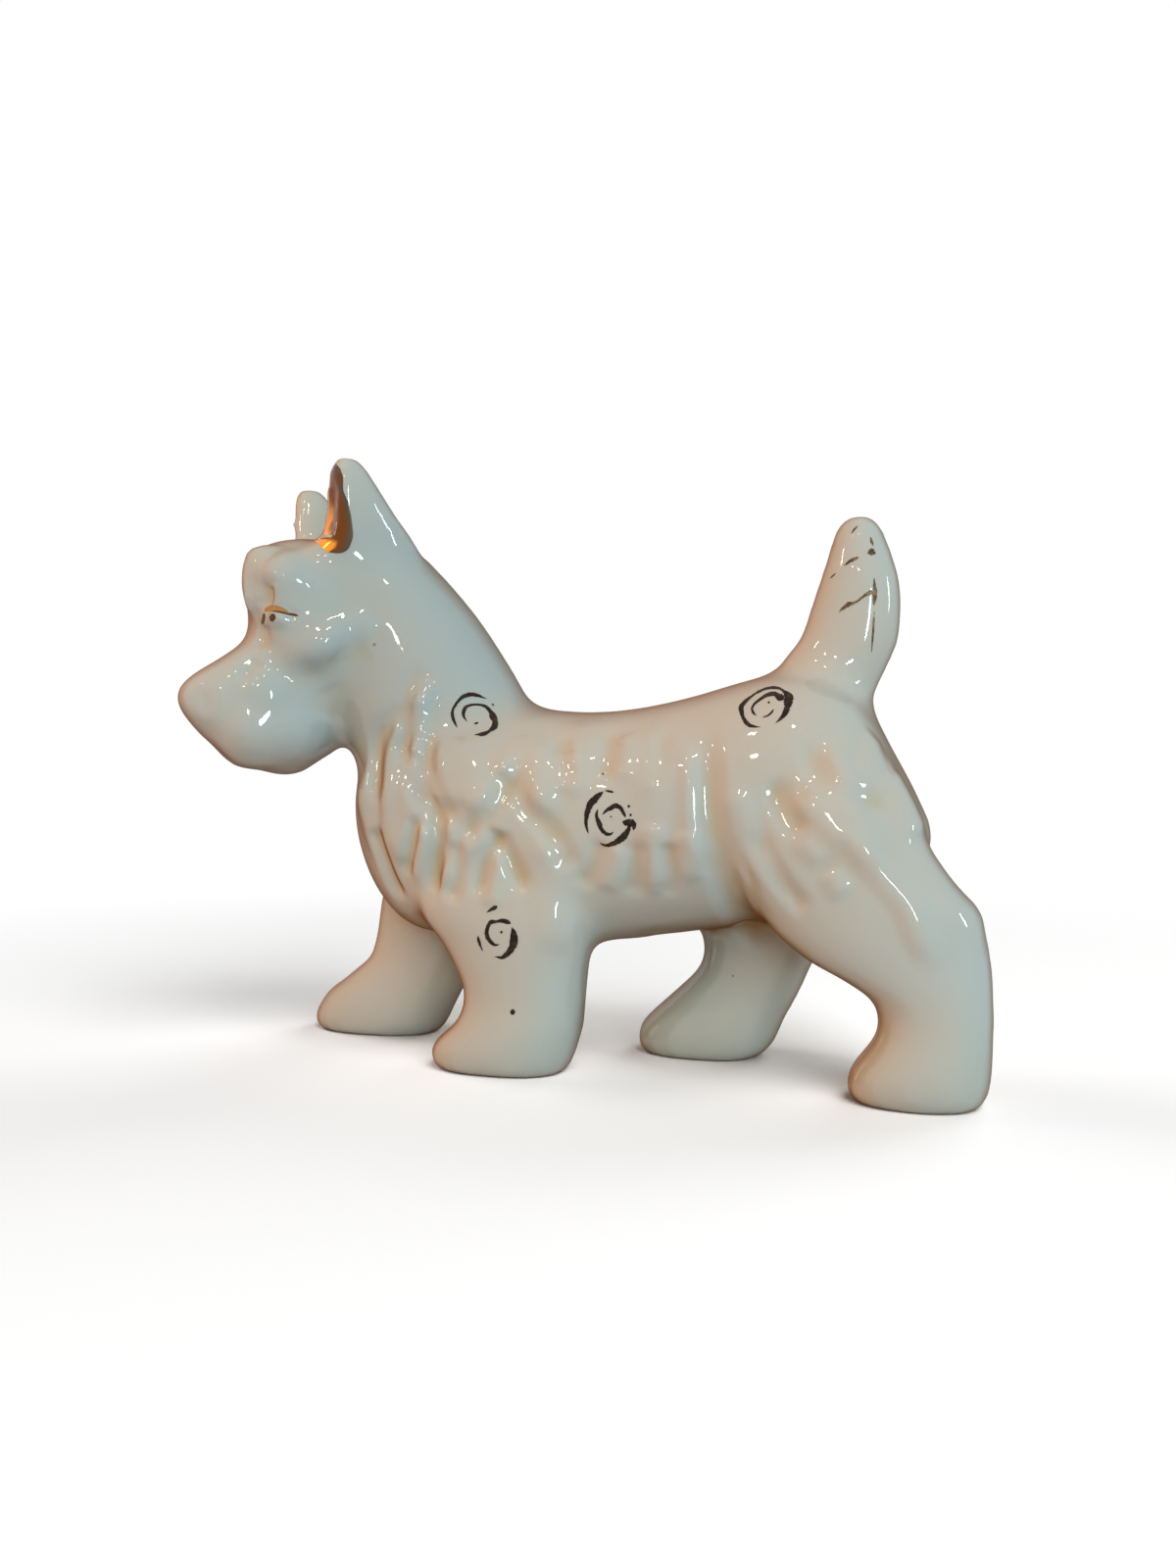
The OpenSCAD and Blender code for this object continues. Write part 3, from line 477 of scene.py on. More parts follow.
# The rings of slip stay under the skin, also where a stroke crosses them.
COVER = 0.12 * MM
SLIP_NEAR = 1.5 * MM
SAME_WAY = 0.6
COVER_ROUNDS = 8
COVER_TOP = 0.7 * MM
skin_normals = normals_of(co, skin_mesh)
raised = np.zeros(len(co))
for name in SLIPS:
    ring = tree_of(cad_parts[name].data)
    low, high = (np.array(corner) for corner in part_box(name))
    for i in np.flatnonzero(((co > low - SLIP_NEAR) & (co < high + SLIP_NEAR)).all(1)):
        place, normal, *_ = ring.find_nearest(Vector(co[i]), SLIP_NEAR)
        if place is not None and normal.dot(Vector(skin_normals[i])) > SAME_WAY:
            raised[i] = max(raised[i], COVER - (Vector(co[i]) - place).dot(normal))
spread = raised[:, None]
for _ in range(COVER_ROUNDS):
    spread = np.maximum(raised[:, None], neighbours_mean(spread))
co = co + skin_normals * np.minimum(spread, COVER_TOP)
co = sponged(co, 1)
print("raised over the slip", int((raised > 0).sum()), "corners, at most", raised.max() / MM)

# The skin stays inside the frame's box: what would pass a side is pressed flat softly.
BOX_ROOM = 0.06 * MM
BOX_PRESS = 0.5 * MM
SOLE_PRESS = 0.05 * MM
for axis in range(3):
    for sign, limit in ((-1, -cad_bounds[0][axis]), (1, cad_bounds[1][axis])):
        room, press = (0, SOLE_PRESS) if (axis, sign) == (2, -1) else (BOX_ROOM, BOX_PRESS)
        limit -= room
        out = sign * co[:, axis] - (limit - press)
        pressed = sign * (limit - press * np.exp(-np.maximum(out, 0) / press))
        co[:, axis] = np.where(out > 0, pressed, co[:, axis])
skin_normals = normals_of(co, skin_mesh)
print("skin box", co.min(0) / MM, co.max(0) / MM)
for polygon in skin_mesh.polygons:
    polygon.use_smooth = True

# %% Depth for the glaze
# How deep each corner lies under a blurred skin, near by and further round, in quarters of a millimetre
BLURS = ((24, 0.6), (80, 0.4))
BLUR_STEP = 0.6
DEPTH_UNIT = 0.25 * MM


def add_attribute(mesh, name, values):
    attribute = mesh.attributes.new(name, "FLOAT", "POINT")
    attribute.data.foreach_set("value", np.asarray(values, np.float32))


hollow = np.zeros(len(co))
for rounds, weight in BLURS:
    soft = co
    for _ in range(rounds):
        soft = soft + BLUR_STEP * (neighbours_mean(soft) - soft)
    hollow += weight * ((soft - co) * skin_normals).sum(1) / DEPTH_UNIT
add_attribute(skin_mesh, "hollow", hollow)
print("hollow", hollow.min(), hollow.max(), np.percentile(hollow, [5, 50, 95]))

# %% [markdown]
# ## One skin, nine pieces
# The skin is cut again where the real pieces were luted. A plane cuts off the head, the
# tail and each ear. Below the leg joint each face goes to the nearest cast piece. Every cut
# is closed with a cap, so each piece is a solid of its own. Normals are kept from the whole
# skin, because the glaze runs over the joints and no seam may catch the light.

# %% Cut at the joints
# For a joint: a place on it, its lean in degrees and the reach of the cut, in millimetres
TOUCHING = 1e-7
NECK_JOINT = ((-18.42, 0.79, 41.56), -25.0, 21.0)
TAIL_JOINT = ((32.30, 0.79, 47.80), 19.0, 9.0)
LEG_JOINT_Z = 19.65 * MM
LEG_REACH = 18 * MM
EAR_TILT = 4.0
EAR_CUT = 8 * MM


def tilted(degrees, turn=0.0):
    """An upward direction, leaned forward or back and then turned about the vertical."""
    lean = math.radians(degrees)
    x, z = math.sin(lean), math.cos(lean)
    return Vector((x * math.cos(turn), x * math.sin(turn), z))


cuts = [("head", Vector(NECK_JOINT[0]) * MM, tilted(NECK_JOINT[1]), NECK_JOINT[2] * MM),
        ("tail", Vector(TAIL_JOINT[0]) * MM, tilted(TAIL_JOINT[1]), TAIL_JOINT[2] * MM)]
for side in SIDES:
    cuts.append((f"ear_{side}", middle_of(f"slip_ear_{side}"), tilted(EAR_TILT, HEAD_TURN), EAR_CUT))

bm = bmesh.new()
bm.from_mesh(skin_mesh)


def cut_near(bm, centre, reach, point, normal):
    """Cuts the faces near a centre along a plane."""
    faces = [f for f in bm.faces if (f.calc_center_median() - centre).length < reach]
    geometry = [*faces, *{e for f in faces for e in f.edges}, *{v for f in faces for v in f.verts}]
    bmesh.ops.bisect_plane(bm, geom=geometry, plane_co=point, plane_no=normal, dist=TOUCHING)


for name, point, normal, reach in cuts:
    cut_near(bm, point, reach, point, normal)
legs = [name for name in CAST if name.startswith("leg_")]
for name in legs:
    top = Vector((*middle_of(name)[:2], LEG_JOINT_Z))
    cut_near(bm, top, LEG_REACH, top, (0, 0, 1))
bm.to_mesh(skin_mesh)
bm.free()
skin_mesh.update()
edges, degree = links_of(skin_mesh)
whole = places(skin_mesh)
print("cut skin", len(whole), "corners")

# %% Share out the faces
polygon_corners = faces_of(skin_mesh)
centres = np.array([whole[face].mean(0) for face in polygon_corners])
order = ["trunk", "head", "tail", "ear_left", "ear_right"] + legs
owner = np.zeros(len(centres), int)
SHARE_ROUNDS = 12


def share(names, corners_in, faces_in):
    """Gives each face of a region to the cast piece that lies nearest, by blurred distances."""
    gaps = np.zeros((len(whole), len(names)))
    for column, name in enumerate(names):
        tree = tree_of(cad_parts[name].data)
        for i in np.flatnonzero(corners_in):
            gaps[i, column] = tree.find_nearest(Vector(whole[i]))[3]
    for _ in range(SHARE_ROUNDS):
        blurred = neighbours_mean(gaps)
        gaps[corners_in] = blurred[corners_in]
    for i in np.flatnonzero(faces_in):
        owner[i] = order.index(names[int(gaps[polygon_corners[i]].mean(0).argmin())])


def beyond(values, k, reach):
    """Which places lie past a joint's plane, and near enough to belong to its piece."""
    name, point, normal, _ = cuts[k]
    ahead_of = (values - np.array(point)) @ np.array(normal) > 0
    return ahead_of & (np.linalg.norm(values - np.array(middle_of(name)), axis=1) < reach)


HEAD_REACH = 33 * MM
HEAD_BACK = -8 * MM
TAIL_REACH = 14 * MM
EAR_BAND = 62 * MM
EARS_BACK = -15 * MM
LEG_MARGIN = 0.5 * MM
centre_x, _, centre_z = centres.T
owner[beyond(centres, 0, HEAD_REACH) & (centre_x < HEAD_BACK)] = order.index("head")
owner[beyond(centres, 1, TAIL_REACH)] = order.index("tail")
share(["head", "ear_left", "ear_right"], whole[:, 2] > EAR_BAND,
      beyond(centres, 2, 1) & (centre_z > EAR_BAND) & (centre_x < EARS_BACK))
share(["trunk"] + legs, whole[:, 2] < LEG_JOINT_Z + LEG_MARGIN, centre_z < LEG_JOINT_Z)


def islands(chosen):
    """The connected sets of the chosen faces, the largest first."""
    chosen = set(np.flatnonzero(chosen).tolist())
    found = []
    while chosen:
        start = chosen.pop()
        group, front = [start], [start]
        while front:
            for other in next_to[front.pop()]:
                if other in chosen:
                    chosen.discard(other)
                    group.append(other)
                    front.append(other)
        found.append(group)
    return sorted(found, key=len, reverse=True)


sides_of = {}
next_to = [[] for _ in polygon_corners]
for i, face in enumerate(polygon_corners):
    for a, b in zip(face, face[1:] + face[:1]):
        key = (min(a, b), max(a, b))
        if key in sides_of:
            next_to[i].append(sides_of[key])
            next_to[sides_of[key]].append(i)
        sides_of[key] = i
for k in range(len(order)):
    for group in islands(owner == k)[1:]:
        for i in group:
            around = [owner[j] for j in next_to[i] if owner[j] != k]
            owner[i] = around[0] if around else owner[i]
print({name: int((owner == k).sum()) for k, name in enumerate(order)})

# %% Close each piece
corner_normals = np.empty(len(skin_mesh.vertices) * 3)
skin_mesh.vertices.foreach_get("normal", corner_normals)
corner_normals = corner_normals.reshape(-1, 3)
hollow_values = np.empty(len(whole))
skin_mesh.attributes["hollow"].data.foreach_get("value", hollow_values)


def piece_of(name, chosen):
    """A closed solid from the chosen faces, with the whole skin's normals."""
    used = sorted({v for i in chosen for v in polygon_corners[i]})
    number = {v: n for n, v in enumerate(used)}
    mesh = new_mesh(name, whole[used], [[number[v] for v in polygon_corners[i]] for i in chosen])
    add_attribute(mesh, "hollow", hollow_values[used])
    bm = bmesh.new()
    bm.from_mesh(mesh)
    for face in bm.faces:
        face.smooth = True
    rim = [e for e in bm.edges if e.is_boundary]
    caps = bmesh.ops.holes_fill(bm, edges=rim, sides=0)["faces"]
    for face in bmesh.ops.poke(bm, faces=caps)["faces"]:
        face.smooth = False
    open_edges = sum(not e.is_manifold for e in bm.edges)
    bm.to_mesh(mesh)
    bm.free()
    loop_corner = np.empty(len(mesh.loops), np.int64)
    mesh.loops.foreach_get("vertex_index", loop_corner)
    poked = np.zeros((len(mesh.vertices) - len(used), 3))
    normals = np.vstack([corner_normals[used], poked])[loop_corner]
    for polygon in mesh.polygons:
        if not polygon.use_smooth:
            normals[list(polygon.loop_indices)] = polygon.normal
    mesh.normals_split_custom_set(normals.tolist())
    print(name, len(mesh.polygons), "faces,", open_edges, "open edges")
    return new_object(f"{name}_glazed", mesh)


glazed = {name: piece_of(name, np.flatnonzero(owner == k).tolist()) for k, name in enumerate(order)}
bpy.data.objects.remove(clay)

# %% [markdown]
# ## Marks on the glaze
# The swirl stamps, the lashes and the gold are thin coats on top of the glaze. Each mark is
# a line with a width at every point. A Geometry Nodes tree makes a band along each line,
# throws the band from the eye on to the skin, and gives it a little thickness. So a mark
# keeps the outline that the picture shows and still lies on the clay. A flat decal would
# be simpler, but it would float over the fur.

# %% The brush tree
PLANE = 0.08
GRAZING = -0.12
PROFILE_POINTS = 15
NODE_STEP = 180
BRUSH_INPUTS = {"Skin": "Object", "Eye": "Vector", "Lift": "Float", "Thickness": "Float", "Spacing": "Float",
                "Material": "Material"}


class Wiring:
    """Adds nodes to a tree and joins them up, from left to right."""

    def __init__(self, tree):
        self.tree = tree
        self.column = 0

    def give(self, socket, value):
        if isinstance(value, bpy.types.NodeSocket):
            self.tree.links.new(value, socket)
        else:
            socket.default_value = value

    def add(self, kind, inputs=None, **settings):
        node = self.tree.nodes.new(kind)
        node.location = (self.column * NODE_STEP, 0)
        self.column += 1
        for key, value in settings.items():
            setattr(node, key, value)
        for key, value in (inputs or {}).items():
            self.give(node.inputs[key], value)
        return node

    def geometry(self, kind, inputs, **settings):
        return self.add(f"GeometryNode{kind}", inputs, **settings).outputs[0]

    def store(self, geometry, name, value, kind="FLOAT"):
        node = self.add("GeometryNodeStoreNamedAttribute", {"Geometry": geometry, "Name": name},
                        data_type=kind)
        self.give(next(s for s in node.inputs if s.name == "Value" and s.enabled), value)
        return node.outputs["Geometry"]

    def named(self, name, kind="FLOAT"):
        node = self.add("GeometryNodeInputNamedAttribute", {"Name": name}, data_type=kind)
        return next(s for s in node.outputs if s.name == "Attribute" and s.enabled)

    def vector(self, operation, *inputs, result="Vector"):
        return self.add("ShaderNodeVectorMath", dict(enumerate(inputs)), operation=operation).outputs[result]

    def scaled(self, vector, factor):
        node = self.add("ShaderNodeVectorMath", {0: vector, "Scale": factor}, operation="SCALE")
        return node.outputs["Vector"]

    def math(self, operation, *inputs):
        return self.add("ShaderNodeMath", dict(enumerate(inputs)), operation=operation).outputs["Value"]

    def plus(self, first, second):
        return self.math("ADD", first, second)

    def minus(self, first, second):
        return self.math("SUBTRACT", first, second)

    def times(self, first, second):
        return self.math("MULTIPLY", first, second)

    def largest(self, first, second):
        return self.math("MAXIMUM", first, second)


def brush_tree():
    tree = bpy.data.node_groups.new("brush", "GeometryNodeTree")
    tree.interface.new_socket("Geometry", in_out="INPUT", socket_type="NodeSocketGeometry")
    for name, kind in BRUSH_INPUTS.items():
        tree.interface.new_socket(name, in_out="INPUT", socket_type=f"NodeSocket{kind}")
    tree.interface.new_socket("Geometry", in_out="OUTPUT", socket_type="NodeSocketGeometry")
    w = Wiring(tree)
    given = w.add("NodeGroupInput").outputs
    skin = w.add("GeometryNodeObjectInfo", {"Object": given["Skin"]}).outputs["Geometry"]
    here = w.add("GeometryNodeInputPosition").outputs["Position"]
    ray = w.vector("SUBTRACT", here, given["Eye"])

    # the line, with its own place, its way across and its share of the length
    line = w.geometry("MeshToCurve", {"Mesh": given["Geometry"]})
    line = w.geometry("ResampleCurve", {"Curve": line, "Length": given["Spacing"]}, mode="LENGTH")
    tangent = w.add("GeometryNodeInputTangent").outputs["Tangent"]
    across_way = w.vector("NORMALIZE", w.vector("CROSS_PRODUCT", tangent, ray))
    factor = w.add("GeometryNodeSplineParameter").outputs["Factor"]
    line = w.store(line, "across_way", across_way, "FLOAT_VECTOR")
    line = w.store(line, "middle", here, "FLOAT_VECTOR")
    line = w.store(line, "along", factor)

    # the band across it
    profile = w.geometry("CurvePrimitiveLine", {"Start": (-1, 0, 0), "End": (1, 0, 0)})
    profile = w.geometry("ResampleCurve", {"Curve": profile, "Count": PROFILE_POINTS})
    profile = w.store(profile, "across", w.add("ShaderNodeSeparateXYZ", {"Vector": here}).outputs["X"])
    band = w.geometry("CurveToMesh", {"Curve": line, "Profile Curve": profile})
    reach = w.times(w.named("across"), w.named("half"))
    shift = w.scaled(w.named("across_way", "FLOAT_VECTOR"), reach)
    place = w.vector("ADD", w.named("middle", "FLOAT_VECTOR"), shift)
    band = w.geometry("SetPosition", {"Geometry": band, "Position": place})

    # thrown on to the skin; what misses it or only grazes it goes
    hit = w.add("GeometryNodeRaycast", {"Target Geometry": skin, "Source Position": given["Eye"],
                                        "Ray Direction": ray, "Ray Length": 1.0}).outputs
    band = w.store(band, "outward", hit["Hit Normal"], "FLOAT_VECTOR")
    lifted = w.vector("ADD", hit["Hit Position"], w.scaled(hit["Hit Normal"], given["Lift"]))
    facing = w.vector("DOT_PRODUCT", w.vector("NORMALIZE", ray), hit["Hit Normal"], result="Value")
    squarely = w.add("FunctionNodeCompare", {"A": facing, "B": GRAZING}, operation="LESS_THAN").outputs[0]
    missed = w.add("FunctionNodeBooleanMath", {0: hit["Is Hit"], 1: squarely}, operation="NAND").outputs[0]
    band = w.geometry("SetPosition", {"Geometry": band, "Position": lifted})
    band = w.geometry("DeleteGeometry", {"Geometry": band, "Selection": missed})

    # closed to a thin coat
    inward = w.scaled(w.named("outward", "FLOAT_VECTOR"), w.times(given["Thickness"], -1.0))
    shell = w.geometry("ExtrudeMesh", {"Mesh": band, "Offset": inward, "Individual": False})
    both = w.add("GeometryNodeJoinGeometry", {"Geometry": shell})
    w.give(both.inputs["Geometry"], band)
    closed = w.geometry("MergeByDistance", {"Geometry": both.outputs["Geometry"], "Distance": TOUCHING})
    solid = w.geometry("RealizeInstances", {"Geometry": closed})
    coat = w.geometry("SetMaterial", {"Geometry": solid, "Material": given["Material"]})
    w.add("NodeGroupOutput", {"Geometry": coat})
    return tree


brush = brush_tree()
print("brush tree with", len(brush.nodes), "nodes")

# %% Lines in front of the eye
BRUSH_SPREAD = 1.12
LEAST_WIDTH_PX = 0.8
LINE_STEP_PX = 1.5
LEAST_POINTS = 5


def lines_mesh(name, lines, move):
    """Edges on a plane in front of the eye, with half a width stored at each corner."""
    corners, links, halves = [], [], []
    for line in lines:
        line = np.array(line, float)
        length = np.linalg.norm(np.diff(line[:, :2], axis=0), axis=1).sum()
        run = smooth_run(line, max(LEAST_POINTS, int(length / LINE_STEP_PX)))
        t = np.linspace(-1, 1, len(run))
        rounding = np.sqrt(np.clip(1.02 - np.abs(t) ** 8, 0.02, 1))
        start = len(corners)
        for (px, py, width), end in zip(run, rounding):
            ray = sight(px, py)
            corners.append(move(EYE + ray * (PLANE / (ray @ ahead))).tolist())
            halves.append(max(width * BRUSH_SPREAD, LEAST_WIDTH_PX) / 2 * end * PLANE / FOCUS_PX)
        links += [(i, i + 1) for i in range(start, len(corners) - 1)]
    mesh = bpy.data.meshes.new(name)
    mesh.from_pydata(corners, links, [])
    add_attribute(mesh, "half", halves)
    return mesh


skin_places = KDTree(len(whole))
for k, place in enumerate(whole):
    skin_places.insert(place, k)
skin_places.balance()
print(len(whole), "places on the skin")


NEAR_BY = 24


def lay_normals(mesh):
    """A coat shines as the glaze below it does, so it takes the mean normal of the skin near by."""
    normals = []
    for vertex in mesh.vertices:
        near = [k for _, k, _ in skin_places.find_n(vertex.co, NEAR_BY)]
        mean = corner_normals[near].sum(0)
        mean = mean / np.linalg.norm(mean)
        normals.append((mean if mean @ np.array(vertex.normal) > 0 else -mean).tolist())
    for polygon in mesh.polygons:
        polygon.use_smooth = True
    mesh.normals_split_custom_set_from_vertices(normals)


SPACING_PX = 0.9


def painted(name, lines, skins, material, move, thickness, slot, *replaced):
    """A coat of paint along the lines, as a closed piece that stands for CAD nodes."""
    made = new_object(name, lines_mesh(name, lines, move))
    nodes = made.modifiers.new("brush", "NODES")
    nodes.node_group = brush
    ids = {item.name: item.identifier for item in brush.interface.items_tree if item.in_out == "INPUT"}
    values = {"Skin": skins, "Eye": move(EYE).tolist(), "Lift": thickness / 2, "Thickness": thickness,
              "Spacing": SPACING_PX * PLANE / FOCUS_PX, "Material": material}
    for key, value in values.items():
        nodes[ids[key]] = value
    mesh = evaluated(made)
    made.modifiers.remove(nodes)
    made.data = mesh
    bm = bmesh.new()
    bm.from_mesh(mesh)
    bmesh.ops.recalc_face_normals(bm, faces=bm.faces)
    bm.to_mesh(mesh)
    open_edges = sum(not e.is_manifold for e in bm.edges)
    bm.free()
    lay_normals(mesh)
    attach(made, "root")
    if replaced:
        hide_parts(*replaced)
    print(name, len(mesh.polygons), "faces,", open_edges, "open edges")


# %% [markdown]
# ## Materials
# Everything visible is one clear glaze over white clay. The glaze lies thicker where it
# pools, so it looks amber there, and thin and cool where the clay stands proud. The same
# amber also paints the shade in the hollows. A ramp over the depth that was measured on the
# skin tells one from the other. Painted shade also turns the outline brown and the cheek
# cool, and painted warm light from the table tints what lies near it. The painted coats
# share one effect, worn paint, which is a node group that gives only a mask.

# %% Shader helpers
def srgb(red, green, blue):
    """A linear colour from the three numbers that a picture program shows."""
    linear = [((v / 255 + 0.055) / 1.055) ** 2.4 if v > 10 else v / 255 / 12.92 for v in (red, green, blue)]
    return (*linear, 1.0)


def material_of(name):
    material = bpy.data.materials.new(name)
    material.use_nodes = True
    return material, Wiring(material.node_tree), material.node_tree.nodes["Principled BSDF"]


def set_sockets(w, shader, **values):
    """Gives the shader its values, with a space for each underscore in a socket's name."""
    for key, value in values.items():
        w.give(shader.inputs[key.replace("_", " ")], value)


def ramp(w, value, low, high):
    """A smooth rise from 0 to 1 between two values."""
    return w.add("ShaderNodeMapRange", {"Value": value, "From Min": low, "From Max": high},
                 interpolation_type="SMOOTHSTEP").outputs["Result"]


def fall(w, value, low, high):
    return w.minus(1.0, ramp(w, value, low, high))


def mixed(w, factor, first, second):
    node = w.add("ShaderNodeMix", data_type="RGBA")
    for name, value in (("Factor_Float", factor), ("A_Color", first), ("B_Color", second)):
        w.give(next(s for s in node.inputs if s.identifier == name), value)
    return next(s for s in node.outputs if s.identifier == "Result_Color")


def noise(w, where, scale, detail=2.0):
    return w.add("ShaderNodeTexNoise", {"Vector": where, "Scale": scale, "Detail": detail}).outputs["Fac"]


def attribute_of(w, name):
    return w.add("ShaderNodeAttribute", attribute_name=name).outputs["Fac"]


def place_on(w):
    return w.add("ShaderNodeTexCoord").outputs["Object"]


# %% The worn paint group
worn = bpy.data.node_groups.new("worn_paint", "ShaderNodeTree")
for name, kind in {"Position": "Vector", "Across": "Float", "Wear": "Float"}.items():
    worn.interface.new_socket(name, in_out="INPUT", socket_type=f"NodeSocket{kind}")
worn.interface.new_socket("Mask", in_out="OUTPUT", socket_type="NodeSocketFloat")
w = Wiring(worn)
group_in = w.add("NodeGroupInput").outputs
edge = w.math("POWER", w.math("ABSOLUTE", group_in["Across"]), 2.5)
coarse = noise(w, group_in["Position"], 900.0, 3.0)
fine = noise(w, group_in["Position"], 4200.0)
rubbed = w.times(w.plus(coarse, w.times(fine, 0.8)), group_in["Wear"])
w.add("NodeGroupOutput", {"Mask": fall(w, w.plus(w.times(edge, 0.42), rubbed), 0.86, 1.0)})


def worn_mask(w, where, wear):
    given = {"Position": where, "Across": attribute_of(w, "across"), "Wear": wear}
    return w.add("ShaderNodeGroup", given, node_tree=worn).outputs["Mask"]


print("worn paint group with", len(worn.nodes), "nodes")

# %% Glaze
CLEAR = srgb(189, 185, 176)
COOL = srgb(184, 187, 183)
AMBER = srgb(184, 158, 106)
SHADED = srgb(166, 174, 173)
BROWN = srgb(134, 90, 46)

# Amber grows with the depth, in quarters of a millimetre: glaze that pools, and painted shade
# in the hollows. Towards the table it grows as painted warm light bounced from the table. The
# cheek gets painted cool shade round a middle. Heights, middle and reach are in metres.
DEPTHS = (-0.20, 2.2)
FOOT_HEIGHTS = (0.002, 0.020)
CHEEK_SHADE_MIDDLE = (-0.021, 0.0, 0.050)
CHEEK_SHADE_REACH = (0.008, 0.026)
SPECK_RADIUS = 0.028

glaze, w, shader = material_of("porcelain_glaze")
where = place_on(w)
drift = noise(w, where, 60.0)
pool_and_shade_depth = w.plus(attribute_of(w, "hollow"), w.times(w.minus(drift, 0.5), 0.3))
pool_and_shade = ramp(w, pool_and_shade_depth, *DEPTHS)
painted_table_bounce = fall(w, w.add("ShaderNodeSeparateXYZ", {"Vector": where}).outputs["Z"], *FOOT_HEIGHTS)
body_colour = mixed(w, ramp(w, noise(w, where, 35.0), 0.35, 0.65), CLEAR, COOL)

# a cooler cheek, painted shade, as if seen from the side: y counts less
flat = w.vector("MULTIPLY", where, (1.0, 0.3, 1.0))
cheek_shade_gap = w.vector("DISTANCE", flat, CHEEK_SHADE_MIDDLE, result="Value")
body_colour = mixed(w, w.times(fall(w, cheek_shade_gap, *CHEEK_SHADE_REACH), 0.9), body_colour, SHADED)

# amber where the glaze pools, painted shade in the hollows, painted warm bounce near the table, painted
# brown shade at the outline, a few kiln specks
tinted = mixed(w, w.times(pool_and_shade, 0.85), body_colour, AMBER)
tinted = mixed(w, w.times(painted_table_bounce, 0.12), tinted, AMBER)
# painted shade: brown towards the outline, where the surface turns away from the eye
slant = w.add("ShaderNodeLayerWeight", {"Blend": 0.5}).outputs["Facing"]
tinted = mixed(w, w.times(ramp(w, slant, 0.42, 1.0), 0.86), tinted, BROWN)
speck_cells = w.add("ShaderNodeTexVoronoi", {"Vector": where, "Scale": 130.0}).outputs["Distance"]
colour = mixed(w, w.times(w.math("LESS_THAN", speck_cells, SPECK_RADIUS), 0.7), tinted, BROWN)

# the coat, with a faint ripple
ripple = w.plus(noise(w, where, 180.0, 1.0), w.times(noise(w, where, 700.0, 1.0), 0.15))
bump = w.add("ShaderNodeBump", {"Height": ripple, "Strength": 0.06, "Distance": 0.0012}).outputs["Normal"]
gloss = w.minus(0.86, w.times(ramp(w, slant, 0.35, 0.95), 0.76))
set_sockets(w, shader, Base_Color=colour, Roughness=0.5, Specular_IOR_Level=0.0, Coat_Weight=gloss,
            Coat_Roughness=0.03, Coat_IOR=1.55, Coat_Normal=bump)
print("glaze with", len(w.tree.nodes), "nodes")

# %% Slip, ink, lashes and gold
def coat(name, scale, dark, pale, wear=None, stops=None, **values):
    """A paint of two colours mixed by noise, under the worn mask where it has any wear."""
    material, w, shader = material_of(name)
    where = place_on(w)
    share = noise(w, where, scale)
    if stops:
        share = ramp(w, share, *stops)
    if wear:
        values["Alpha"] = worn_mask(w, where, wear)
    set_sockets(w, shader, Base_Color=mixed(w, share, dark, pale), **values)
    return material


slip_material = coat("luting_slip", 400.0, srgb(176, 170, 158), srgb(196, 192, 182), Roughness=0.8)
ink = coat("worn_ink", 1500.0, srgb(30, 20, 16), srgb(70, 50, 36), wear=0.70, stops=(0.45, 0.8),
           Roughness=0.45, Specular_IOR_Level=0.15)
lash = coat("lash_paint", 1500.0, srgb(60, 36, 20), srgb(104, 70, 40), wear=0.40,
            Roughness=0.4, Specular_IOR_Level=0.15)
lid = coat("lid_tint", 1500.0, srgb(158, 112, 60), srgb(178, 138, 90), wear=0.56,
           Roughness=0.4, Specular_IOR_Level=0.2)
tail_gold = coat("worn_gold", 1300.0, srgb(66, 54, 42), srgb(132, 102, 70), wear=0.78, stops=(0.4, 0.7),
                 Metallic=0.25, Roughness=0.35, Specular_IOR_Level=0.3)

# The gold in the cup has a painted gleam along one strand and at its foot, where it is less metallic, and is
# rubbed thin at the tip and the back.
gold, w, shader = material_of("gold_lustre")
where = place_on(w)
across, along = attribute_of(w, "across"), attribute_of(w, "along")
strand = w.plus(across, w.times(w.minus(noise(w, where, 500.0), 0.5), 0.5))
painted_strand_gleam = w.times(ramp(w, strand, -0.75, -0.45), fall(w, strand, -0.30, 0.0))
painted_strand_gleam = w.times(painted_strand_gleam, ramp(w, along, 0.30, 0.75))
painted_foot_gleam = w.times(ramp(w, along, 0.84, 0.91), fall(w, strand, 0.25, 0.45))
painted_gleams = w.largest(painted_strand_gleam, painted_foot_gleam)
rub = w.plus(across, w.times(noise(w, where, 700.0, 4.0), 0.8))
thin = w.largest(ramp(w, rub, 0.86, 1.18), fall(w, along, 0.08, 0.22))
# orange for the painted gleam, dark gold elsewhere, brown where rubbed thin
colour = mixed(w, thin, mixed(w, painted_gleams, srgb(116, 62, 18), srgb(250, 158, 46)), srgb(84, 60, 38))
metal = w.minus(0.8, w.largest(w.times(thin, 0.5), w.times(painted_gleams, 0.35)))
set_sockets(w, shader, Base_Color=colour, Metallic=metal, Roughness=0.16, Alpha=worn_mask(w, where, 0.42))
print("materials", [m.name for m in bpy.data.materials])

# %% Dress the pieces
for name, made in glazed.items():
    made.data.materials.append(glaze)
    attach(made, "root")
    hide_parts(name)
for name in SLIPS:
    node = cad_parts[name]
    node.data.materials.clear()
    node.data.materials.append(slip_material)
print(len(glazed), "pieces in glaze,", len(SLIPS), "joints in slip")

# %% The stamps, the eyes and the gold
def spots(*places_and_widths):
    """Round dots: short lines that swell to their width and close again."""
    return [[(x - width * 0.42, y, width * 0.6), (x, y, width), (x + width * 0.42, y, width * 0.6)]
            for x, y, width in places_and_widths]


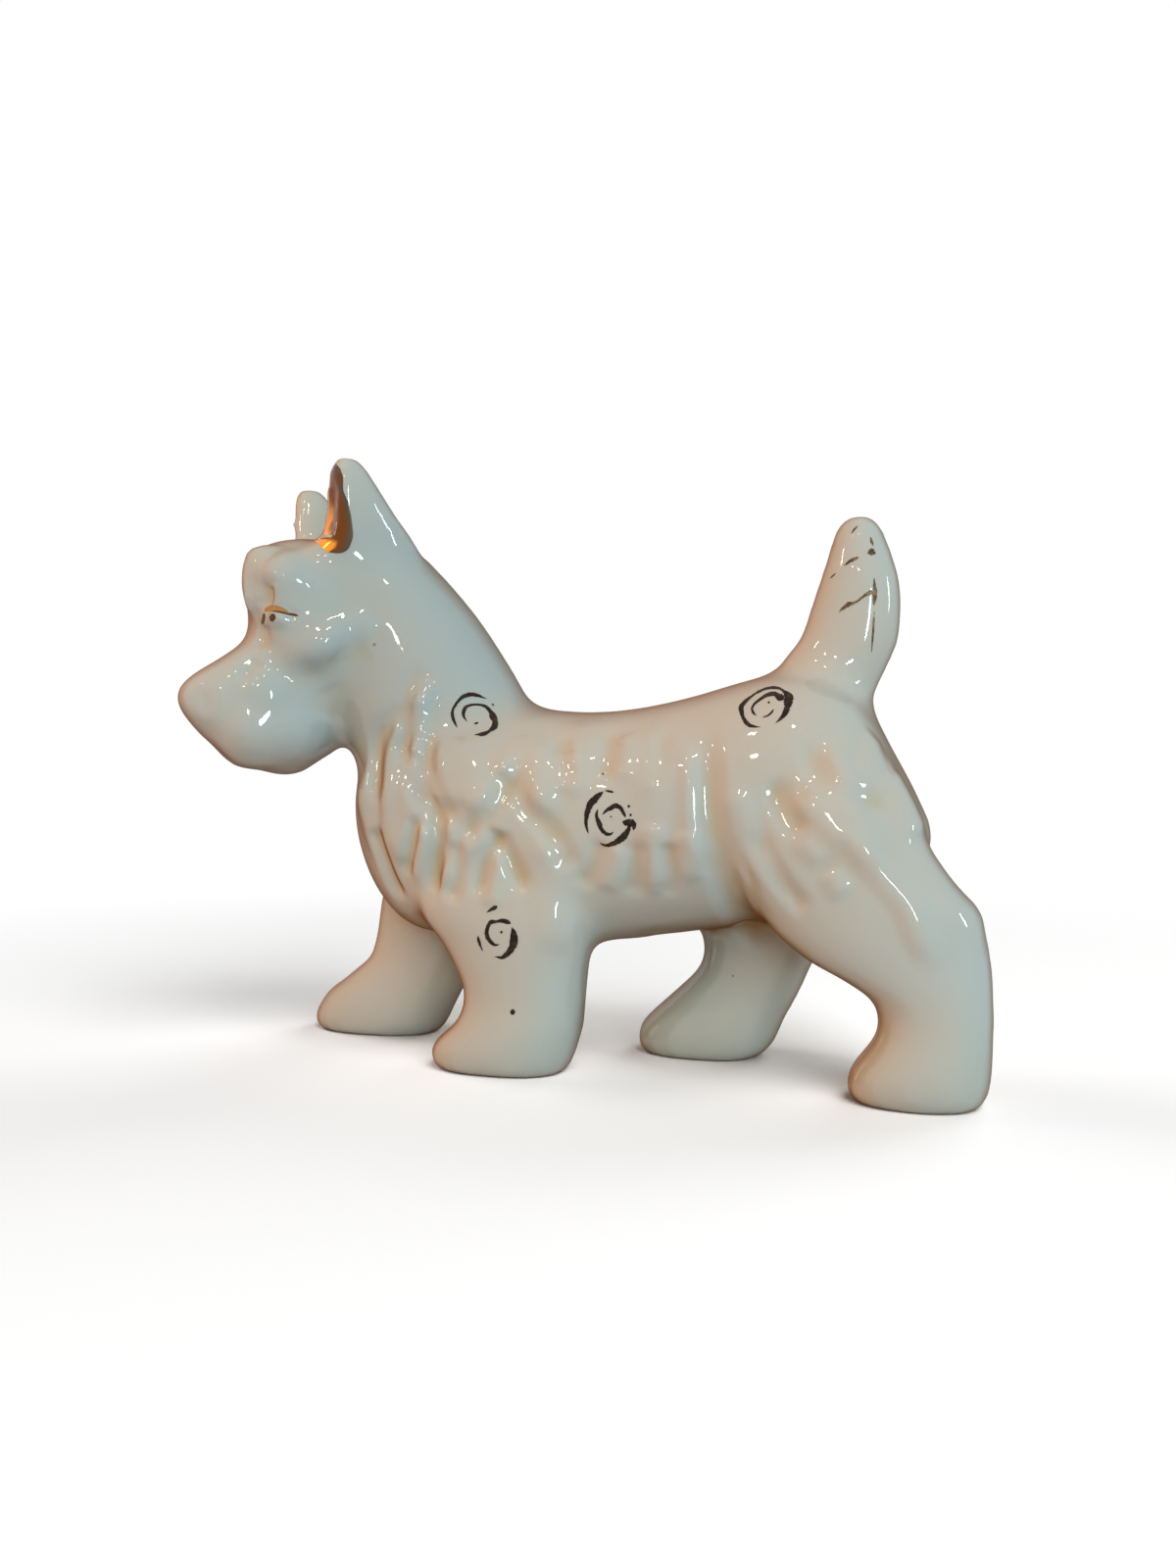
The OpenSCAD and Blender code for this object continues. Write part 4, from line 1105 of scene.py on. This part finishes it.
SHOULDER = [
    [(466.8, 742.8, 1.6), (463.7, 736.7, 3), (461.8, 731.3, 3.4), (461.8, 725.2, 2.8), (464.5, 719.8, 3),
     (469.1, 713.7, 3.6), (474.4, 709.9, 4.4), (481.3, 708.7, 4.4), (487.4, 709.5, 3.4),
     (492.8, 711.8, 1.8), (496.6, 713, 0.8)],
    [(476.7, 736.3, 1.2), (473.7, 732.1, 3.2), (472.9, 727.5, 3.6), (474.8, 722.1, 3.6),
     (479.8, 719.5, 2.6), (485.9, 718.9, 2.2), (492, 719.7, 2.8), (497.4, 722.5, 3.4), (501.2, 727.5, 4.6),
     (503.5, 732.1, 8.6), (505, 737.4, 6), (504.3, 742, 6.6), (499.7, 745.8, 3.4), (495.1, 748.5, 4),
     (491.3, 749.3, 4), (487.4, 749.7, 2.2), (484, 750, 1)],
    [(501.6, 717.9, 1.4), (504, 720.4, 2.2)],
    [(483.6, 738.8, 1.2), (486, 738, 2.0), (488.2, 737.4, 1.6)],
]
BARREL = [
    [(616, 807.5, 1), (612, 811, 5), (607, 815.5, 7), (602.6, 820.5, 7), (599.6, 828, 5.6),
     (598, 838, 3.8), (598.9, 845, 2.6), (600.6, 851, 1)],
    [(617, 806.6, 1), (622.5, 807.6, 2.8), (626.5, 808.4, 1)],
    [(610, 825.4, 1.6), (608.7, 832.5, 3.4), (611.3, 839.6, 5), (613.6, 845.9, 4.6), (618, 850.4, 4.2),
     (622.5, 851.3, 3), (626, 848.6, 1.6)],
    [(614.5, 831.6, 1.2), (619, 827, 3.2), (624.3, 824.2, 4.8), (627.9, 822.2, 5.6), (633.2, 824.5, 4.2),
     (636.8, 830.7, 3.6), (638.5, 834, 1.6)],
    [(635, 838.4, 2.4), (639.5, 839.6, 7.4), (644.6, 840.4, 8.4), (647, 842.4, 5.6), (646.2, 847.4, 1.6)],
    [(643, 842, 4), (640, 848, 5.4), (636, 854, 7.8), (630, 858.6, 6), (623, 862, 4.6), (617, 862.4, 3),
     (612, 860, 1)],
] + spots((615.2, 789.8, 2.8), (641.7, 822.7, 3.6), (643.5, 831.6, 3.2), (646.6, 818.2, 1.5),
          (648.8, 812.4, 1.6), (621.6, 816, 1.7), (638.6, 815.7, 1.3), (623.4, 833.4, 2.3),
          (626.5, 835.2, 2), (640.4, 828, 1.8), (619.8, 803.9, 1.4))
RUMP = [
    [(776.3, 741.9, 1.2), (770.7, 741.6, 2.8), (765.1, 740.2, 4.2), (760.9, 736.7, 4.2),
     (758.1, 731.8, 3.8), (756.7, 726.1, 4.4), (756.3, 721.9, 5.4), (759.5, 717, 3.8), (765.1, 712.1, 2.7),
     (772.1, 707.2, 2.6), (779.1, 703.7, 2.6), (786.1, 701.9, 2.8), (791.8, 701.9, 2.8), (796.7, 703.3, 3),
     (800.9, 706.5, 4.2), (804.6, 711.4, 9), (804.4, 716.3, 9), (803, 721.9, 7), (800.9, 728.2, 5.6),
     (796.7, 733.2, 4.4), (791.1, 738.1, 1.2)],
    [(772.1, 730.4, 1.2), (768.9, 727.5, 2.5), (767.5, 723.3, 2.8), (770, 718.4, 2.6), (774.9, 714.2, 2.8),
     (780.5, 710.4, 3.2), (786.1, 708.2, 4.2), (791.1, 708.2, 4.6), (796, 711.4, 8), (799.6, 714, 7)],
    [(778.1, 732.1, 1.2), (783.3, 730.4, 1.9), (787.2, 727.2, 2.1), (789.6, 723.7, 1.2)],
] + spots((784.4, 717, 3.2))
FORELEG = [
    [(496.4, 931.1, 1), (501.1, 928.2, 3), (505.2, 925.9, 4.4), (507.4, 924.4, 1.6)],
    [(509.8, 963.6, 1.4), (505, 964.1, 3.2), (500.2, 960.3, 3.8), (496.8, 954.5, 4.2), (497.3, 947.8, 4),
     (501.1, 941, 4.6), (506.9, 940.4, 3), (512.6, 939.4, 4.2), (518.4, 941.1, 4.2), (521.2, 942.6, 2.6)],
    [(522.2, 945.9, 1.4), (524.1, 951.7, 6), (524.6, 959.3, 8.2), (522.7, 967, 7.5), (518.4, 972.7, 5.6),
     (512.6, 977, 3.8), (507.8, 976.6, 2), (504.5, 976.1, 0.8)],
    [(487.8, 954.5, 1), (488.7, 960.3, 3.2), (491.1, 967, 1.6), (493, 970.8, 0.8)],
] + spots((511.7, 951.2, 3.4), (512.2, 929.7, 1.4), (513.6, 926.3, 1.2), (523.2, 1032.5, 6.4))
LASHES = [
    [(277, 624.0, 0.9), (283.2, 624.1, 1.4), (288.3, 625.1, 1.7), (293.4, 626.2, 2.0), (298.5, 627.1, 2.3),
     (302.3, 627.8, 2.0), (304.4, 628.1, 0.9)],
    [(269.6, 625.7, 2.2), (269.1, 630.8, 2.7), (267.5, 637.2, 2.6)],
    [(274.8, 629.6, 4.6), (276.2, 629.9, 6.8), (278, 630.2, 7.4), (279.8, 630.5, 6.8),
     (281.4, 630.9, 4.6)],
]
LID = [[(270.2, 624.4, 2.0), (272.6, 621.9, 4.2), (276.8, 620.6, 5.2), (281.9, 620.8, 5.2),
        (287, 621.9, 4.2), (291.5, 623.2, 2.6), (294.6, 624.4, 1.0)]]
CUP_GOLD = [[(340, 471, 6), (339.5, 476, 11), (340.5, 486, 16.5), (340.2, 501, 18), (342.4, 517, 25),
             (342, 530, 30), (340.5, 542, 35), (339, 550, 34), (337, 557, 30), (334.7, 563, 18)]]
TAIL_GOLD = [
    [(875.4, 536.6, 1.2), (872, 540, 1.8), (868.6, 544.7, 1.2)],
    [(888, 547.6, 1.8), (889.5, 552.5, 3.2), (891, 557, 1.8)],
    [(885.3, 564.8, 3.4), (889.4, 563.2, 8.0), (893.2, 565.4, 4.4)],
    [(860.5, 577.4, 1.4), (867.4, 572.8, 3.2), (873, 570, 3.6), (876.2, 568.6, 1.6)],
    [(846.7, 590.6, 1.0), (850, 587.6, 1.8), (853, 584.9, 1.0)],
    [(855.9, 625, 1.2), (860, 621, 3.6), (865.1, 617.4, 5.2), (870, 615.6, 3.4), (875, 613.4, 2.2),
     (881, 608.6, 3.2), (886, 605.4, 5.2), (891, 604, 6)],
    [(892, 589.6, 1.2), (892.3, 597, 2.8), (892.9, 605, 5.0), (892.4, 612, 3.6), (891.6, 618, 1.6)],
    [(892.1, 623.3, 1.8), (891.4, 636, 2.3), (890.3, 652, 2.0), (889.2, 666, 1.0)],
]


def as_seen(point):
    return point


def across_trunk(point):
    return mirrored(point, trunk_middle, trunk_side)


def across_head(point):
    return mirrored(point, HEAD_PIVOT, head_side)


foreleg_shift = np.array([middle_of("stamp_foreleg_right").x - middle_of("stamp_foreleg_left").x, 0, 0])


def across_forelegs(point):
    return across_trunk(point) + foreleg_shift


COAT = 0.05 * MM
skin_object = new_object("whole_skin", skin_mesh)
STAMPED = {"shoulder": (SHOULDER, across_trunk), "barrel": (BARREL, across_trunk),
           "rump": (RUMP, across_trunk), "foreleg": (FORELEG, across_forelegs)}
for place, (lines, other_side) in STAMPED.items():
    for side, move in (("left", as_seen), ("right", other_side)):
        node = f"stamp_{place}_{side}"
        painted(f"{node}_ink", lines, skin_object, ink, move, COAT, "stamp", node)
for side, move in (("left", as_seen), ("right", across_head)):
    painted(f"lashes_{side}", LASHES, skin_object, lash, move, COAT, "paint", f"eye_paint_{side}")
    painted(f"lid_tint_{side}", LID, skin_object, lid, move, COAT / 2, "paint")
    # the gold is thrown on to the head and its own ear, so that the other ear can't catch it
    own = np.isin(owner, [order.index("head"), order.index(f"ear_{side}")])
    own_faces = [face for face, mine in zip(polygon_corners, own) if mine]
    target = new_object("target", new_mesh("target", whole, own_faces))
    painted(f"cup_gold_{side}", CUP_GOLD, target, gold, move, 2 * COAT, "lustre", f"ear_gilding_{side}")
    bpy.data.objects.remove(target)
for side, move, replaced in (("left", as_seen, ["tail_gilding"]), ("right", across_trunk, [])):
    painted(f"tail_gold_{side}", TAIL_GOLD, skin_object, tail_gold, move, COAT, "worn_lustre", *replaced)
bpy.data.objects.remove(skin_object)

# %% [markdown]
# ## Floor, light and background
# The picture mixes cool daylight from the right with warm light from a room at the left, so
# soft lamps of both colours stand round the dog. Light linking keeps them off the floor,
# which has white lamps of its own, so its shadow stays grey. One set of lamps for both would
# be simpler, but it would tint the shadow. To the camera and in reflections the floor fades
# to white away from the dog, as the background is, and keeps the shadow near it.

# %% Floor
FLOOR_HALF = 3.0
FADE_START = 0.09
FADE_END = 0.23
WHITE = (1, 1, 1, 1)
SQUARE = [(-1, -1, 0), (1, -1, 0), (1, 1, 0), (-1, 1, 0)]


def white_where_seen(w, dim, shown, output):
    """Lights the dog with one surface, and shows another to the camera and in reflections."""
    path = w.add("ShaderNodeLightPath").outputs
    seen = w.largest(path["Is Camera Ray"], w.largest(path["Is Glossy Ray"], path["Is Transmission Ray"]))
    mix = w.add("ShaderNodeMixShader", {0: seen, 1: dim, 2: shown}).outputs["Shader"]
    w.give(w.tree.nodes[output].inputs["Surface"], mix)


floor = new_object("floor", new_mesh("floor", np.array(SQUARE) * FLOOR_HALF, [[0, 1, 2, 3]]))
pale, w, shader = material_of("pale_floor")
set_sockets(w, shader, Base_Color=(0.42, 0.25, 0.11, 1), Roughness=0.9, Specular_IOR_Level=0.1)
lit = w.add("ShaderNodeBsdfDiffuse", {"Color": (1.2, 1.2, 1.2, 1)}).outputs["BSDF"]
white = w.add("ShaderNodeEmission", {"Color": WHITE, "Strength": 1.0}).outputs["Emission"]
far = ramp(w, w.vector("LENGTH", place_on(w), result="Value"), FADE_START, FADE_END)
near_far = w.add("ShaderNodeMixShader", {0: far, 1: lit, 2: white}).outputs["Shader"]
white_where_seen(w, shader.outputs["BSDF"], near_far, "Material Output")
floor.data.materials.append(pale)
print("floor", FLOOR_HALF * 2, "m wide")

# %% Lamps
CENTRE = np.array([0.0, 0.0, 0.035])
SOFT_DISTANCE = 0.8
floor_alone = bpy.data.collections.new("floor_alone")
floor_alone.objects.link(floor)
floor_left_out = bpy.data.collections.new("floor_left_out")
floor_left_out.objects.link(floor)
floor_left_out.collection_objects[0].light_linking.link_state = "EXCLUDE"


def lamp(name, direction, distance, size, power, colour, receivers, shape="RECTANGLE"):
    """An area lamp that faces the dog, from an azimuth and an elevation in degrees.

    Azimuth 0 is in front of its left side, and 90 behind its tail.
    """
    a, e = (math.radians(angle) for angle in direction)
    data = bpy.data.lights.new(name, "AREA")
    data.shape = shape
    data.size, data.size_y = size
    data.energy = power
    data.color = colour
    made = new_object(name, data)
    outward = np.array([math.sin(a) * math.cos(e), -math.cos(a) * math.cos(e), math.sin(e)])
    made.location = CENTRE + distance * outward
    made.rotation_euler = (Vector(CENTRE) - made.location).to_track_quat("-Z", "Y").to_euler()
    made.light_linking.receiver_collection = receivers
    return made


def soft_lamp(name, azimuth, elevation, size, level, receivers):
    """A lamp that shows in no reflection. The level is the colour that it alone gives a white surface."""
    power = max(level) * (math.pi * SOFT_DISTANCE) ** 2
    colour = [channel / max(level) for channel in level]
    made = lamp(name, (azimuth, elevation), SOFT_DISTANCE, (size, size), power, colour, receivers)
    made.visible_glossy = False


# For each soft lamp on the dog: azimuth, elevation, size and level
SOFT_LAMPS = {
    "day_right": (36, 10, 0.45, (0.20, 0.39, 0.51)),
    "day_side": (70, 10, 0.40, (0.03, 0.048, 0.064)),
    "day_front": (2, 38, 0.40, (0.235, 0.19, 0.115)),
    "day_high": (45, 40, 0.40, (0.055, 0.075, 0.085)),
    "room_high": (-70, 38, 0.40, (0.225, 0.070, 0.010)),
    "room_left": (-62, 10, 0.40, (0.26, 0.070, 0.008)),
    "overhead": (-60, 68, 0.60, (0.15, 0.074, 0.020)),
    "room_right": (125, 12, 0.50, (0.07, 0.068, 0.06)),
    "room_back": (200, 14, 0.50, (0.62, 0.61, 0.56)),
}
# For each lamp on the floor: azimuth, elevation, size and how white
FLOOR_LAMPS = {"floor_right": (36, 15, 0.45, 0.35), "floor_high": (45, 50, 0.45, 0.58),
               "floor_left": (-100, 30, 0.45, 0.34), "floor_back": (150, 35, 0.50, 0.34)}
for name, numbers in SOFT_LAMPS.items():
    soft_lamp(name, *numbers, floor_left_out)
for name, (*numbers, level) in FLOOR_LAMPS.items():
    soft_lamp(name, *numbers, (level,) * 3, floor_alone)

# Two tall windows and five bulbs give the glaze its highlights.
HIGHLIGHTS = [("window", 0.9, (0.07, 0.24), 1.1, (0.72, 0.95, 1.0), [(26, 6), (80, 13)]),
              ("bulb", 0.7, (0.04, 0.04), 0.14, (1.0, 0.84, 0.62),
               [(-44, 30), (-14, 26), (3, 20), (6, 50), (-24, 46)])]
for name, distance, size, power, colour, directions in HIGHLIGHTS:
    for k, direction in enumerate(directions):
        lamp(f"{name}_{k}", direction, distance, size, power, colour, floor_left_out, "ELLIPSE")
print(len(bpy.data.lights), "lamps")

# %% World
world = bpy.data.worlds.new("world")
bpy.context.scene.world = world
world.use_nodes = True
w = Wiring(world.node_tree)
soft = w.add("ShaderNodeBackground", {"Color": (1.0, 0.95, 0.84, 1), "Strength": 0.02}).outputs["Background"]
white = w.add("ShaderNodeBackground", {"Color": WHITE, "Strength": 1.0}).outputs["Background"]
white_where_seen(w, soft, white, "World Output")
bpy.context.scene.view_settings.view_transform = "Standard"
print("view", bpy.context.scene.view_settings.view_transform)
